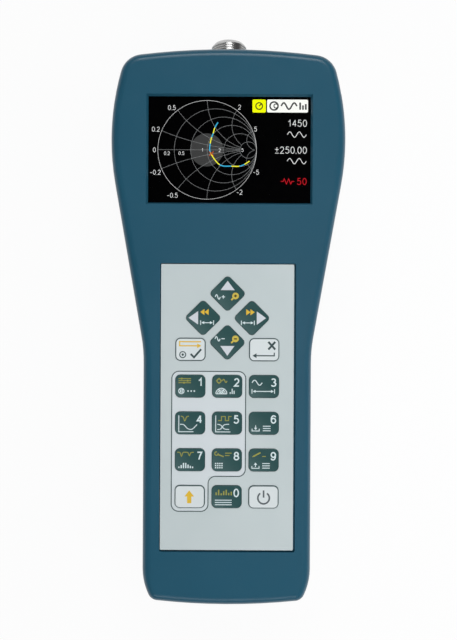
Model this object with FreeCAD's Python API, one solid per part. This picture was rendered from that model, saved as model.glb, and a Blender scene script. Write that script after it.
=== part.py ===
"""Handheld antenna analyzer, built as an assembly of its real pieces, in millimetres.

It lies on its back: X runs across, Y along it towards the antenna socket, Z from the back to the front.
The origin is on the flat back, half way along the case.
"""
import FreeCAD, Part
import math
import os

# Case outline, seen from the front. It is the same on both sides of X = 0.
case_length = 235.2
case_depth = 52.0
parting_height = 26.0          # the two shells meet here
end_crown_radius = 300.0       # gentle bow of the head's end
head_corner_radius = 10.5
head_half_width = 49.95
head_widest_place = 79.0       # Y of the widest point
head_side_radius = 108.0
taper_angle = 10.06            # degrees, from the head down to the handle
neck_radius = 62.0
handle_half_width = 35.9
knee_place = -102.0            # Y where the handle starts to round off
knee_radius = 26.0
foot_corner_radius = 5.0
foot_crown_radius = 280.0
front_draft = 0.6              # how much narrower the front face is than the parting line
back_draft = 1.0
front_edge_radius = 4.0
back_edge_radius = 4.0
parting_bevel = 0.25           # on each shell's edge where the two meet

# Walls
side_wall = 2.6
front_wall = 2.8
back_wall = 2.6
lip_thickness = 1.2
lip_height = 1.5
lip_clearance = 0.15

# Case screws and brass inserts
head_screw_place = (35.0, 105.0)
waist_screw_place = (28.0, 8.0)
foot_screw_place = (17.0, -101.0)
boss_radius = 4.0
back_boss_radius = 4.6
case_screw_radius = 1.45
case_screw_hole_radius = 1.7
case_screw_head_radius = 2.75
case_screw_head_height = 2.4
case_screw_head_clearance = 0.35
cross_half_length = 1.6        # cross recess in a screw's head
cross_half_width = 0.35
cross_depth = 1.2
case_screw_seat = 8.0          # Z of the shoulder under the screw's head
insert_radius = 2.3
insert_bore_radius = 1.5
insert_length = 6.0
insert_groove_width = 0.6
insert_groove_depth = 0.3
insert_floor = 2.0             # room for the screw's tip behind the insert
screw_tip_length = 5.5         # how far a case screw reaches into the front shell

# Display window and display
window_width = 68.06
window_height = 44.6
window_centre = (0.44, 74.16)
window_thickness = 1.5
window_overlap = 3.0           # how far the window lies behind the case's rim on each side
window_recess = 1.3            # how far its face lies below the front of the case
window_bevel = 0.7
window_clearance = 0.15
window_corner_radius = 1.2
gasket_thickness = 0.5
gasket_inset = 0.5
panel_overlap = 2.4
panel_thickness = 2.0
backlight_thickness = 2.3
tray_wall = 0.5
tray_clearance = 0.1
flex_width = 30.0
flex_thickness = 0.25
flex_socket_height = 1.6
flex_socket_depth = 4.0
flex_grip = 2.0                # how far a flex cable reaches into its socket
flex_socket_margin = 2.0       # on each side of the cable
flex_notch_margin = 1.0        # each side of the cable in the tray's wall
flex_bend_gap = 1.6            # from the panel's edge to where its flex cable turns down
lcd_socket_gap = 5.46          # from the panel's edge to the mouth of the display's flex socket

# Keypad: a circuit sheet with domes, a spacer, the overlay, and the keys
overlay_width = 55.5
overlay_height = 119.3
overlay_top = 26.09            # Y of its edge nearer the display
overlay_corner_radius = 0.4
overlay_thickness = 0.25
overlay_drop = 0.15            # the overlay's face lies this far below the case's
pocket_gap_left = 0.35
pocket_gap_right = 0.75
pocket_gap_top = 0.35
pocket_gap_bottom = 0.8
spacer_thickness = 1.35
circuit_thickness = 0.25
sheet_inset = 0.4              # circuit and spacer are smaller than the overlay
bed_thickness = 2.0            # case material under the keypad pocket
bed_margin = 2.0
dome_height = 0.4
dome_radius = 3.6
key_rise = 0.5                 # a key's face above the overlay
key_edge_radius = 0.4
key_clearance = 0.1
key_flange_overlap = 0.3
key_flange_thickness = 0.35
key_flange_gap = 0.05
key_flange_clearance = 0.15
key_width = 12.5
key_height = 9.5
key_corner_radius = 2.1
key_pitch_across = 15.37
key_pitch_along = 15.35
arrow_centre = 22.42           # the middle of the four arrow keys, down from the overlay's top edge
first_row = 35.58              # ok and cancel, likewise
number_row = 50.93             # the first row of numbers, likewise
arrow_offset = 10.19
arrow_key_size = 10.95         # across its flats
arrow_key_corner_radius = 1.7
tail_width = 14.0
tail_setback = 3.19            # from the overlay's top edge to where the keypad's tail turns down
tail_socket_gap = 4.1          # from the tail's turn to the mouth of its socket
slot_clearance = 0.9

# Boards
board_thickness = 1.6
main_board_head_half_width = 43.0
main_board_head_end = 98.0
main_board_shoulder = 60.0
main_board_waist_half_width = 34.0
main_board_waist_place = 24.0
main_board_waist_end = 14.0
main_board_handle_half_width = 23.0
main_board_foot_half_width = 11.5
main_board_foot_place = -95.0
main_board_end = -112.5
head_post_places = ((40.2, 91.0), (40.2, 63.0))
handle_post_places = ((19.5, -2.0), (19.5, -89.0))
post_radius = 2.5
board_screw_radius = 1.0
board_screw_head_radius = 1.9
board_screw_head_height = 1.3
board_screw_length = 3.0       # beyond the board
screw_fit = 0.1                # play of a screw or peg in a hole
pilot_fit = 0.02               # play of a screw in its own thread
pilot_depth = 0.5              # how far a pilot hole goes past its screw's tip
rf_board_half_width = 26.0
rf_board_start = 40.0
rf_board_end = 104.0
rf_post_inset = 4.0
rf_post_radius = 3.0
can_half_width = 20.0
can_start = 51.0
can_end = 95.0
can_height = 5.0
can_sheet = 0.3
link_half_width = 12.7
link_depth = 2.6
link_place = 47.0
buzzer_radius = 6.0
buzzer_height = 9.0
buzzer_place = (18.0, 30.0)
buzzer_hole_radius = 1.2
buzzer_hole_depth = 2.0
# Chips: place, width, height and thickness of each
main_board_chips = ((0, 74, 14, 14, 1.4), (20, 78, 8, 6, 1.2), (-20, 76, 10, 10, 1.4), (-24, 54, 9, 12, 2.2),
                    (0, 6, 10, 10, 1.2), (-12, -12, 7, 5, 2.0), (9, -62, 8, 8, 3.0), (-8, -70, 5, 6, 1.5))
rf_board_chips = ((-9, 84, 7, 7, 1.0), (9, 84, 7, 7, 1.0), (0, 66, 9, 9, 1.0), (-12, 60, 5, 4, 1.5))

# Antenna socket, on the parting line. Its thread is 5/8 inch with 24 turns to the inch.
socket_reach = 10.6            # beyond the end of the case
thread_radius = 7.94
thread_pitch = 1.058
thread_depth = 0.6
thread_crest = 0.25
thread_root = 0.15
thread_start = 1.2             # from the end of the case
shank_radius = 7.5             # where it passes through the end wall
nose_radius = 7.1
nose_chamfer = 1.5
mouth_bevel = 0.4
socket_bore_radius = 4.15
socket_hole_clearance = 0.15
flange_half_width = 12.7
flange_thickness = 3.0
flange_hole_offset = 9.1
flange_screw_radius = 1.4
flange_screw_length = 3.0      # beyond the flange
flange_screw_head_radius = 2.5
flange_screw_head_height = 2.0
flange_corner_radius = 1.5
flange_seat_depth = 4.4        # from the end of the case to the face that the flange lies on
flange_pad_margin = 1.3
peg_drop = 0.5                 # a locating peg stops this far below the flange's back
peg_root = 0.5
insulator_length = 8.0
contact_radius = 1.52
contact_bore_radius = 0.83
contact_bore_depth = 4.0
contact_slot = 0.3
contact_bevel = 0.3
contact_recess = 5.0           # its tip lies this far inside the socket's mouth
contact_tail_radius = 0.8
contact_tail_length = 9.0

# Computer socket at the lower end, under the main board
usb_half_width = 6.02
usb_height = 11.0
usb_depth = 16.2
usb_sheet = 0.35
usb_cavity_half_width = 4.22
usb_cavity_height = 7.78
usb_cavity_chamfer = 1.4
usb_cavity_depth = 9.0
usb_tongue_half_width = 2.8
usb_tongue_height = 3.2
usb_tongue_recess = 0.8
usb_setback = 0.5              # its mouth lies this far inside the end of the case
usb_core_setback = 0.2         # the core's face inside the shell's mouth
usb_clearance = 0.3

# Battery: three cells side by side behind a sliding cover
cell_radius = 7.25
cell_length = 50.5
cell_nub_radius = 2.75
cell_nub_length = 1.2
cell_pitch = 14.9
cell_count = 3
cell_gap = 0.45                # between a cell and the cover's inside
bay_start = -35.0              # Y of the bay's end wall nearer the head
bay_side_clearance = 0.45
bay_wall = 1.5
contact_sheet = 0.4
contact_half_width = 5.0
contact_bottom = 4.5
contact_top = 15.5
tab_half_width = 1.5
tab_top = 21.0
tab_clearance = 0.25
spring_length = 5.4            # squeezed between a plate and a cell
spring_play = 0.05
spring_radius = 2.9
spring_wire_radius = 0.35
spring_turns = 4
lead_radius = 0.6
cover_thickness = 2.2
cover_half_width = 24.0
cover_start = -28.0
cover_gap = 0.15
rail_width = 1.2
rail_thickness = 1.0
rail_clearance = 0.15
rail_roof = 1.8                # case material over the cover's rails
grip_groove_count = 6
grip_groove_pitch = 2.6
grip_groove_half_length = 10.0
grip_groove_radius = 0.55
grip_place = -38.0

# Blank rating plate on the back of the head
plate_half_width = 33.0
plate_start = 40.0
plate_end = 92.0
plate_corner_radius = 3.0
plate_thickness = 0.3
plate_recess = 0.4
plate_clearance = 0.15

# Places that follow from the values above
half_length = case_length / 2
front_inner = case_depth - front_wall
window_front = case_depth - window_recess
window_back = window_front - window_thickness
panel_front = min(front_inner, window_back) - gasket_thickness
panel_back = panel_front - panel_thickness
backlight_back = panel_back - backlight_thickness
tray_back = backlight_back - tray_wall
board_front = tray_back
board_back = board_front - board_thickness
overlay_front = case_depth - overlay_drop
overlay_back = overlay_front - overlay_thickness
spacer_back = overlay_back - spacer_thickness
pocket_floor = spacer_back - circuit_thickness
overlay_centre = (0.0, overlay_top - overlay_height / 2)
tail_place = overlay_top - tail_setback
tail_socket_place = tail_place + tail_socket_gap
panel_low_edge = window_centre[1] - window_height / 2 - panel_overlap
lcd_socket_place = panel_low_edge - lcd_socket_gap
bed_back = pocket_floor - bed_thickness
key_flange_front = overlay_back - key_flange_gap
key_flange_back = key_flange_front - key_flange_thickness
key_front = overlay_front + key_rise
socket_end = half_length + socket_reach
socket_axis = parting_height
flange_front = half_length - flange_seat_depth
flange_back = flange_front - flange_thickness
rf_board_front = socket_axis - contact_tail_radius
rf_board_back = rf_board_front - board_thickness
cell_axis = cover_thickness + cell_gap + cell_radius
bay_half_width = cell_pitch * (cell_count - 1) / 2 + cell_radius + bay_side_clearance
bay_length = cell_length + spring_length + 2 * contact_sheet
bay_end = bay_start - bay_length
bay_roof = cell_axis + cell_radius + bay_side_clearance
slide_roof = cover_thickness + rail_clearance


def point(x, y, z=0.0):
    return FreeCAD.Vector(x, y, z)


def block(x0, x1, y0, y1, z0, z1):
    """A box between two corners."""
    return Part.makeBox(x1 - x0, y1 - y0, z1 - z0, point(x0, y0, z0))


def post(x, y, z0, z1, radius):
    """A round post along Z."""
    return Part.makeCylinder(radius, z1 - z0, point(x, y, z0))


def rod(x, z, y0, y1, radius):
    """A round rod along Y."""
    return Part.makeCylinder(radius, y1 - y0, point(x, y0, z), point(0, 1, 0))


def rounded_plate(centre, width, height, radius, z0, z1):
    """A flat plate with rounded corners."""
    x, y = centre
    plate = block(x - width / 2, x + width / 2, y - height / 2, y + height / 2, z0, z1)
    corners = [edge for edge in plate.Edges if abs(edge.Vertexes[0].Z - edge.Vertexes[1].Z) > (z1 - z0) / 2]
    return plate.makeFillet(radius, corners)


def turned(shape, centre, angle):
    """The shape turned about the Z line through centre."""
    copy = shape.copy()
    copy.rotate(point(centre[0], centre[1]), point(0, 0, 1), angle)
    return copy


def joined(shapes):
    """One solid from shapes that touch or overlap."""
    return shapes[0].multiFuse(shapes[1:]).removeSplitter()


def without(shape, tools):
    return shape.cut(Part.makeCompound(tools)).removeSplitter()


def group(shapes):
    return Part.makeCompound(shapes)


def both_sides(places):
    return [(side * x, y) for x, y in places for side in (1, -1)]


# ---------------------------------------------------------------- case outline


def circle_crossing(centre_a, radius_a, centre_b, radius_b, side):
    """Where two circles cross, on the side of the line between their centres that side (1 or -1) gives."""
    gap = centre_b - centre_a
    distance = gap.Length
    along = (radius_a ** 2 - radius_b ** 2 + distance ** 2) / (2 * distance)
    across = math.sqrt(radius_a ** 2 - along ** 2)
    unit = gap / distance
    return centre_a + unit * along + point(-unit.y, unit.x) * across * side


def towards(centre, target, radius):
    return centre + (target - centre).normalize() * radius


def arc(centre, start, end):
    """The shorter arc between two points that lie on one circle about centre."""
    radius = (start - centre).Length
    middle = towards(centre, (start + end) / 2, radius)
    return Part.Arc(start, middle, end).toShape()


def case_outline(inset, z):
    """The case's outline, offset inwards by inset, at height z: arcs and lines, each tangent to the next."""
    slope = math.radians(taper_angle)
    normal = point(math.cos(slope), -math.sin(slope))
    crown = point(0, half_length - end_crown_radius)
    side = point(head_half_width - head_side_radius, head_widest_place)
    corner = circle_crossing(crown, end_crown_radius - head_corner_radius,
                             side, head_side_radius - head_corner_radius, -1)
    neck_x = handle_half_width + neck_radius
    neck_gap = head_side_radius + neck_radius
    neck_y = side.y + (normal.x * (neck_x - side.x) - neck_gap) / math.sin(slope)
    neck = point(neck_x, neck_y)
    knee = point(handle_half_width - knee_radius, knee_place)
    foot = point(0, foot_crown_radius - half_length)
    foot_corner = circle_crossing(knee, knee_radius - foot_corner_radius,
                                  foot, foot_crown_radius - foot_corner_radius, -1)
    points = [
        towards(crown, corner, end_crown_radius - inset),
        towards(side, corner, head_side_radius - inset),
        side + normal * (head_side_radius - inset),
        neck - normal * (neck_radius + inset),
        neck - point(neck_radius + inset, 0),
        knee + point(knee_radius - inset, 0),
        towards(knee, foot_corner, knee_radius - inset),
        towards(foot, foot_corner, foot_crown_radius - inset),
    ]
    centres = [corner, side, None, neck, None, knee, foot_corner]
    up = point(0, 0, z)

    def half(mirror):
        def place(p):
            return point(mirror * p.x, p.y) + up
        edges = []
        for start, end, centre in zip(points, points[1:], centres):
            if centre is None:
                edges.append(Part.LineSegment(place(start), place(end)).toShape())
            else:
                edges.append(arc(place(centre), place(start), place(end)))
        return edges

    def mirrored(p):
        return point(-p.x, p.y)

    first, last = points[0], points[-1]
    crown_edge = Part.Arc(mirrored(first) + up, point(0, half_length - inset) + up, first + up)
    foot_edge = Part.Arc(last + up, point(0, inset - half_length) + up, mirrored(last) + up)
    return Part.Wire([crown_edge.toShape()] + half(1) + [foot_edge.toShape()] + half(-1)[::-1])


def case_block(inset_a, z_a, inset_b, z_b):
    """A solid between two offset outlines at two heights."""
    return Part.makeLoft([case_outline(inset_a, z_a), case_outline(inset_b, z_b)], True, True)


def edges_at(shape, z):
    return [e for e in shape.Edges if all(abs(v.Z - z) < 1e-6 for v in e.Vertexes)]


def front_body():
    """The front half of the case as a full block."""
    body = case_block(0, parting_height, front_draft, case_depth)
    body = body.makeFillet(front_edge_radius, edges_at(body, case_depth))
    return body.makeChamfer(parting_bevel, edges_at(body, parting_height))


def back_body():
    """The rear half of the case as a full block."""
    body = case_block(0, parting_height, back_draft, 0)
    body = body.makeFillet(back_edge_radius, edges_at(body, 0))
    return body.makeChamfer(parting_bevel, edges_at(body, parting_height))


def draft_at(z):
    """The outline's inset at a height, from the draft of the shell that is there."""
    if z > parting_height:
        return front_draft * (z - parting_height) / (case_depth - parting_height)
    return back_draft * (parting_height - z) / parting_height


def screw_places():
    return both_sides([head_screw_place, waist_screw_place, foot_screw_place])


def socket_zone():
    """The stretch of the end wall around the antenna socket, where the lip is left out."""
    reach = flange_half_width + flange_pad_margin + lip_clearance
    return block(-reach, reach, flange_front - 1, half_length, 0, case_depth)


def flange_pad(z0, z1):
    """A flat pad inside the end wall that the antenna socket's flange lies on."""
    reach = flange_half_width + flange_pad_margin
    return block(-reach, reach, flange_front, half_length - side_wall / 2 - back_draft, z0, z1)


# ---------------------------------------------------------------- keypad layout


def key_layout():
    """Name, centre, width, height, corner radius and turn of each key."""
    keys = []
    for name, dx, dy in (("up", 0, 1), ("left", -1, 0), ("right", 1, 0), ("down", 0, -1)):
        centre = (dx * arrow_offset, overlay_top - arrow_centre + dy * arrow_offset)
        keys.append(("key_" + name, centre, arrow_key_size, arrow_key_size, arrow_key_corner_radius, 45.0))
    rows = (("1", "2", "3"), ("4", "5", "6"), ("7", "8", "9"), ("function", "0", "power"))
    names = [("ok", -1, first_row), ("cancel", 1, first_row)]
    for number, row in enumerate(rows):
        down = number_row + number * key_pitch_along
        names += [(name, column - 1, down) for column, name in enumerate(row)]
    for name, column, down in names:
        centre = (column * key_pitch_across, overlay_top - down)
        keys.append(("key_" + name, centre, key_width, key_height, key_corner_radius, 0.0))
    return keys


def key_plate(centre, width, height, radius, angle, grow, z0, z1):
    """A key's outline, grown by a margin, as a plate."""
    plate = rounded_plate(centre, width + 2 * grow, height + 2 * grow, radius + grow, z0, z1)
    return turned(plate, centre, angle)


def key_holes(grow, z0, z1):
    return [key_plate(*shape, grow, z0, z1) for name, *shape in key_layout()]


# ---------------------------------------------------------------- shells


def front_shell():
    """Front half of the case: window rim, keypad pocket, screw bosses, board posts and end-wall holes."""
    body = front_body()
    cavity = case_block(side_wall, parting_height, side_wall + draft_at(front_inner), front_inner)
    recess_inset = side_wall - lip_thickness - lip_clearance
    recess = case_block(recess_inset, parting_height, recess_inset,
                        parting_height + lip_height + lip_clearance)
    shell = body.cut(cavity).cut(recess.cut(socket_zone()))

    x0, y0 = overlay_centre
    left = x0 - overlay_width / 2 - pocket_gap_left
    right = x0 + overlay_width / 2 + pocket_gap_right
    bottom = y0 - overlay_height / 2 - pocket_gap_bottom
    top = y0 + overlay_height / 2 + pocket_gap_top
    bed = block(left - bed_margin, right + bed_margin, bottom - bed_margin, top + bed_margin,
                bed_back, front_inner)
    bosses = [post(x, y, parting_height, front_inner, boss_radius) for x, y in screw_places()]
    posts = [post(x, y, board_front, front_inner, post_radius)
             for x, y in both_sides(head_post_places + handle_post_places)]
    pad = flange_pad(parting_height, socket_axis + flange_half_width + flange_pad_margin)
    shell = joined([shell, bed, pad] + bosses + posts)

    pocket_centre = ((left + right) / 2, (bottom + top) / 2)
    pocket_radius = overlay_corner_radius + pocket_gap_left
    pocket = rounded_plate(pocket_centre, right - left, top - bottom, pocket_radius, pocket_floor,
                           case_depth + 1)
    slot = block(-tail_width / 2 - slot_clearance, tail_width / 2 + slot_clearance,
                 tail_place - slot_clearance, tail_place + slot_clearance, bed_back - 1, pocket_floor + 1)
    tools = [pocket, slot, usb_hole(), socket_hole()] + window_cuts()
    for x, y in screw_places():
        tools.append(post(x, y, parting_height - 1, parting_height + insert_length, insert_radius))
        tools.append(post(x, y, parting_height, parting_height + insert_length + insert_floor,
                          case_screw_hole_radius))
    for x, y in both_sides(head_post_places + handle_post_places):
        tools.append(post(x, y, board_front - 1, board_front + board_screw_length + pilot_depth,
                          board_screw_radius + pilot_fit))
    for side in (1, -1):
        tools.append(rod(side * flange_hole_offset, socket_axis + flange_hole_offset, flange_front - 1,
                         flange_front + flange_screw_length + pilot_depth, flange_screw_radius + pilot_fit))
    return without(shell, tools)


def window_cuts():
    """The window's opening with its bevelled rim, and the rebate behind it."""
    x, y = window_centre
    opening = block(x - window_width / 2, x + window_width / 2, y - window_height / 2, y + window_height / 2,
                    window_back - 1, case_depth + 1)
    rims = []
    for grow, z in ((0.0, window_front), (window_bevel, case_depth)):
        w = window_width / 2 + grow
        h = window_height / 2 + grow
        rims.append(Part.makePolygon([point(x - w, y - h, z), point(x + w, y - h, z), point(x + w, y + h, z),
                                      point(x - w, y + h, z), point(x - w, y - h, z)]))
    bevel = Part.makeLoft(rims, True, True)
    grow = 2 * (window_overlap + window_clearance)
    rebate = rounded_plate(window_centre, window_width + grow, window_height + grow,
                           window_corner_radius + window_clearance, window_back - 1, window_front)
    return [opening, bevel, rebate]


def socket_hole():
    return rod(0, socket_axis, flange_front - 1, half_length + 1, shank_radius + socket_hole_clearance)


def usb_hole():
    """The computer socket's way through the lower end wall."""
    reach = usb_half_width + usb_clearance
    return block(-reach, reach, -half_length - 1, usb_setback + usb_depth - half_length,
                 board_back - usb_height - usb_clearance, board_back + usb_clearance)


def bay_block(grow, z0, z1):
    reach = bay_half_width + grow
    return block(-reach, reach, bay_end - grow, bay_start + grow, z0, z1)


def rear_shell():
    """Rear half of the case: lip, screw bosses, board posts, battery bay and the cover's grooves."""
    body = back_body()
    cavity = case_block(side_wall, parting_height, side_wall + draft_at(back_wall), back_wall)
    lip = case_block(side_wall - lip_thickness, parting_height - 1, side_wall - lip_thickness,
                     parting_height + lip_height)
    lip = lip.cut(case_block(side_wall, parting_height - 2, side_wall, parting_height + lip_height + 1))
    shell = body.cut(cavity)

    roof = slide_roof + rail_roof
    slide_reach = cover_half_width + rail_width + rail_clearance
    roof_plate = block(-slide_reach - side_wall, slide_reach + side_wall, -half_length + side_wall,
                       cover_start + cover_gap + side_wall, back_wall / 2, roof)
    bay = bay_block(bay_wall, back_wall / 2, bay_roof + bay_wall)
    bosses = [post(x, y, back_wall / 2, parting_height, back_boss_radius) for x, y in screw_places()]
    posts = [post(x, y, back_wall / 2, rf_board_back, rf_post_radius) for x, y in rf_post_places()]
    pad = flange_pad(socket_axis - flange_half_width - flange_pad_margin, parting_height)
    pegs = [rod(side * flange_hole_offset, socket_axis - flange_hole_offset, flange_back + peg_drop,
                flange_front + peg_root, flange_screw_radius - screw_fit) for side in (1, -1)]
    shell = joined([shell, lip.cut(socket_zone()), roof_plate.common(body), bay, pad] + bosses + posts + pegs)

    reach = cover_half_width + cover_gap
    rail_low = cover_thickness - rail_thickness - rail_clearance
    opening_end = cover_start + cover_gap
    tools = [
        block(-reach, reach, -half_length - 1, opening_end, -1, slide_roof),
        block(-slide_reach, slide_reach, -half_length - 1, opening_end, rail_low, slide_roof),
        bay_block(0, -1, bay_roof),
        socket_hole(),
        usb_hole(),
        rounded_plate((0, (plate_start + plate_end) / 2), 2 * (plate_half_width + plate_clearance),
                      plate_end - plate_start + 2 * plate_clearance, plate_corner_radius + plate_clearance,
                      -1, plate_recess),
    ]
    for x, y in screw_places():
        tools.append(post(x, y, -1, case_screw_seat, case_screw_head_radius + case_screw_head_clearance))
        tools.append(post(x, y, 0, parting_height + 1, case_screw_hole_radius))
    for x, y in rf_post_places():
        tools.append(post(x, y, rf_board_back - board_screw_length - pilot_depth, rf_board_back + 1,
                          board_screw_radius + pilot_fit))
    for x, y in tab_places():
        reach = tab_half_width + tab_clearance
        tools.append(block(x - reach, x + reach, y - tab_clearance, y + contact_sheet + tab_clearance,
                           bay_roof - 1, bay_roof + bay_wall + 1))
    return without(shell, tools)


def battery_cover():
    """Sliding cover over the battery bay, with side rails and finger grooves."""
    panel = block(-cover_half_width, cover_half_width, -half_length - 1, cover_start, 0, cover_thickness)
    reach = cover_half_width + rail_width
    rails = block(-reach, reach, -half_length - 1, cover_start, cover_thickness - rail_thickness,
                  cover_thickness)
    cover = joined([panel, rails]).common(back_body())
    grooves = []
    for number in range(grip_groove_count):
        y = grip_place - number * grip_groove_pitch
        groove = Part.makeCylinder(grip_groove_radius, 2 * grip_groove_half_length,
                                   point(-grip_groove_half_length, y, 0), point(1, 0, 0))
        grooves.append(groove)
    return without(cover, grooves)


# ---------------------------------------------------------------- display


def window_plate(grow, radius, z0, z1):
    return rounded_plate(window_centre, window_width + 2 * grow, window_height + 2 * grow, radius, z0, z1)


def display_window():
    return window_plate(window_overlap, window_corner_radius, window_back, window_front)


def display_gasket():
    """Foam frame between the window and the panel."""
    front = panel_front + gasket_thickness
    outer = window_plate(panel_overlap, window_corner_radius, panel_front, front)
    inner = window_plate(gasket_inset, window_corner_radius, panel_front - 1, front + 1)
    return outer.cut(inner)


def lcd_panel():
    return window_plate(panel_overlap, window_corner_radius / 2, panel_back, panel_front)


def lcd_backlight():
    return window_plate(panel_overlap, window_corner_radius / 2, backlight_back, panel_back)


def lcd_tray():
    """Sheet-metal tray that holds the panel and its backlight, with a gap for the flex cable."""
    grow = panel_overlap + tray_clearance
    outer = window_plate(grow + tray_wall, window_corner_radius, tray_back, panel_front)
    inner = window_plate(grow, window_corner_radius / 2, backlight_back, panel_front + 1)
    x, y = window_centre
    bottom = y - window_height / 2 - grow - tray_wall
    reach = flex_width / 2 + flex_notch_margin
    gap = block(x - reach, x + reach, bottom - 1, bottom + tray_wall + tray_clearance / 2, backlight_back,
                panel_front + 1)
    return without(outer, [inner, gap])


def flat_cable(x, width, path, thickness):
    """A flat flex cable: a strip of blocks along a stepped path of (Y, Z) corners."""
    blocks = []
    half = thickness / 2
    for (y0, z0), (y1, z1) in zip(path, path[1:]):
        blocks.append(block(x - width / 2, x + width / 2, min(y0, y1) - half, max(y0, y1) + half,
                            min(z0, z1) - half, max(z0, z1) + half))
    return joined(blocks)


def lcd_flex_cable():
    """Flex cable from the panel's lower edge down to its socket on the main board."""
    y = panel_low_edge - flex_thickness / 2
    z = (panel_back + panel_front) / 2
    low = board_front + flex_socket_height / 2
    bend = y - flex_bend_gap
    end = lcd_socket_place - flex_grip
    path = [(y, z), (bend, z), (bend, low), (end, low)]
    return flat_cable(window_centre[0], flex_width, path, flex_thickness)


# ---------------------------------------------------------------- keypad


def sheet(inset, z0, z1):
    return rounded_plate(overlay_centre, overlay_width - 2 * inset, overlay_height - 2 * inset,
                         overlay_corner_radius, z0, z1)


def keypad_overlay():
    """Printed sheet on top of the keypad, with a hole for each key."""
    holes = key_holes(key_clearance, overlay_back - 1, overlay_front + 1)
    return without(sheet(0, overlay_back, overlay_front), holes)


def keypad_spacer():
    holes = key_holes(key_flange_overlap + key_flange_clearance, spacer_back - 1, overlay_back + 1)
    return without(sheet(sheet_inset, spacer_back, overlay_back), holes)


def keypad_circuit():
    """Printed membrane circuit, with its tail through the case to the main board."""
    plate = sheet(sheet_inset, pocket_floor, spacer_back)
    middle = pocket_floor + circuit_thickness / 2
    low = board_front + flex_socket_height / 2
    reach = tail_width / 2 + slot_clearance
    cut_out = block(-reach, reach, tail_place, overlay_top, pocket_floor - 1, spacer_back + 1)
    tail = flat_cable(0, tail_width, [(tail_place - 1, middle), (tail_place, middle), (tail_place, low),
                                      (tail_socket_place + flex_grip, low)], circuit_thickness)
    return joined([plate.cut(cut_out), tail])


def snap_domes():
    """Metal domes on the circuit, one under each key."""
    ball_radius = (dome_radius ** 2 + dome_height ** 2) / (2 * dome_height)
    half_angle = math.asin(dome_radius / ball_radius) / 2
    rise = ball_radius * math.cos(half_angle) - ball_radius + dome_height
    middle = point(ball_radius * math.sin(half_angle), 0, rise)
    foot, rim, crown = point(0, 0), point(dome_radius, 0), point(0, 0, dome_height)
    profile = Part.Wire([Part.LineSegment(foot, rim).toShape(), Part.Arc(rim, middle, crown).toShape(),
                         Part.LineSegment(crown, foot).toShape()])
    dome = Part.Face(profile).revolve(foot, point(0, 0, 1), 360)
    domes = []
    for name, (x, y), *rest in key_layout():
        copy = dome.copy()
        copy.translate(point(x, y, spacer_back))
        domes.append(copy)
    return group(domes)


def key(shape):
    """A keycap: a flange held under the overlay, and a cap with a rounded edge above it."""
    flange = key_plate(*shape, key_flange_overlap, key_flange_back, key_flange_front)
    cap = key_plate(*shape, 0, key_flange_back, key_front)
    cap = cap.makeFillet(key_edge_radius, edges_at(cap, key_front))
    return joined([flange, cap])


# ---------------------------------------------------------------- boards


def rf_post_places():
    x = rf_board_half_width - rf_post_inset
    return both_sides([(x, rf_board_start + rf_post_inset), (x, rf_board_end - rf_post_inset)])


def main_board():
    """The board behind the display and the keypad, narrow enough to pass between the case's bosses."""
    right = [
        (main_board_head_half_width, main_board_head_end),
        (main_board_head_half_width, main_board_shoulder),
        (main_board_waist_half_width, main_board_waist_place),
        (main_board_waist_half_width, main_board_waist_end),
        (main_board_handle_half_width, main_board_waist_end),
        (main_board_handle_half_width, main_board_foot_place),
        (main_board_foot_half_width, main_board_foot_place),
        (main_board_foot_half_width, main_board_end),
    ]
    left = [(-x, y) for x, y in reversed(right)]
    corners = [point(x, y, board_back) for x, y in right + left + right[:1]]
    board = Part.Face(Part.makePolygon(corners)).extrude(point(0, 0, board_thickness))
    holes = [post(x, y, board_back - 1, board_front + 1, board_screw_radius + screw_fit)
             for x, y in both_sides(head_post_places + handle_post_places)]
    return without(board, holes)


def rf_board():
    board = block(-rf_board_half_width, rf_board_half_width, rf_board_start, rf_board_end,
                  rf_board_back, rf_board_front)
    holes = [post(x, y, rf_board_back - 1, rf_board_front + 1, board_screw_radius + screw_fit)
             for x, y in rf_post_places()]
    return without(board, holes)


def shield_can():
    """Folded sheet-metal can over the radio-frequency circuits."""
    top = rf_board_front + can_height
    outer = block(-can_half_width, can_half_width, can_start, can_end, rf_board_front, top)
    inner = block(can_sheet - can_half_width, can_half_width - can_sheet, can_start + can_sheet,
                  can_end - can_sheet, rf_board_front - 1, top - can_sheet)
    return outer.cut(inner)


def board_chips():
    """Chips on the back of the main board and under the can on the radio-frequency board."""
    chips = [block(x - w / 2, x + w / 2, y - h / 2, y + h / 2, board_back - t, board_back)
             for x, y, w, h, t in main_board_chips]
    chips += [block(x - w / 2, x + w / 2, y - h / 2, y + h / 2, rf_board_front, rf_board_front + t)
              for x, y, w, h, t in rf_board_chips]
    return group(chips)


def flex_sockets():
    """Sockets on the main board's front that hold the two flex cables."""
    sockets = []
    for x, width, mouth, side, thickness in (
            (window_centre[0], flex_width, lcd_socket_place, -1, flex_thickness),
            (0, tail_width, tail_socket_place, 1, circuit_thickness)):
        near, far = sorted((mouth, mouth + side * flex_socket_depth))
        reach = width / 2 + flex_socket_margin
        body = block(x - reach, x + reach, near, far, board_front, board_front + flex_socket_height)
        low = board_front + (flex_socket_height - thickness) / 2
        slot_end = mouth + side * (flex_grip + thickness / 2)
        near, far = sorted((mouth - side, slot_end))
        slot = block(x - width / 2, x + width / 2, near, far, low, low + thickness)
        sockets.append(body.cut(slot))
    return group(sockets)


def board_link():
    """Pin header and socket that join the two boards."""
    middle = (rf_board_front + board_back) / 2
    y0 = link_place - link_depth / 2
    y1 = link_place + link_depth / 2
    header = block(-link_half_width, link_half_width, y0, y1, rf_board_front, middle)
    socket = block(-link_half_width, link_half_width, y0, y1, middle, board_back)
    return group([header, socket])


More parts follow.
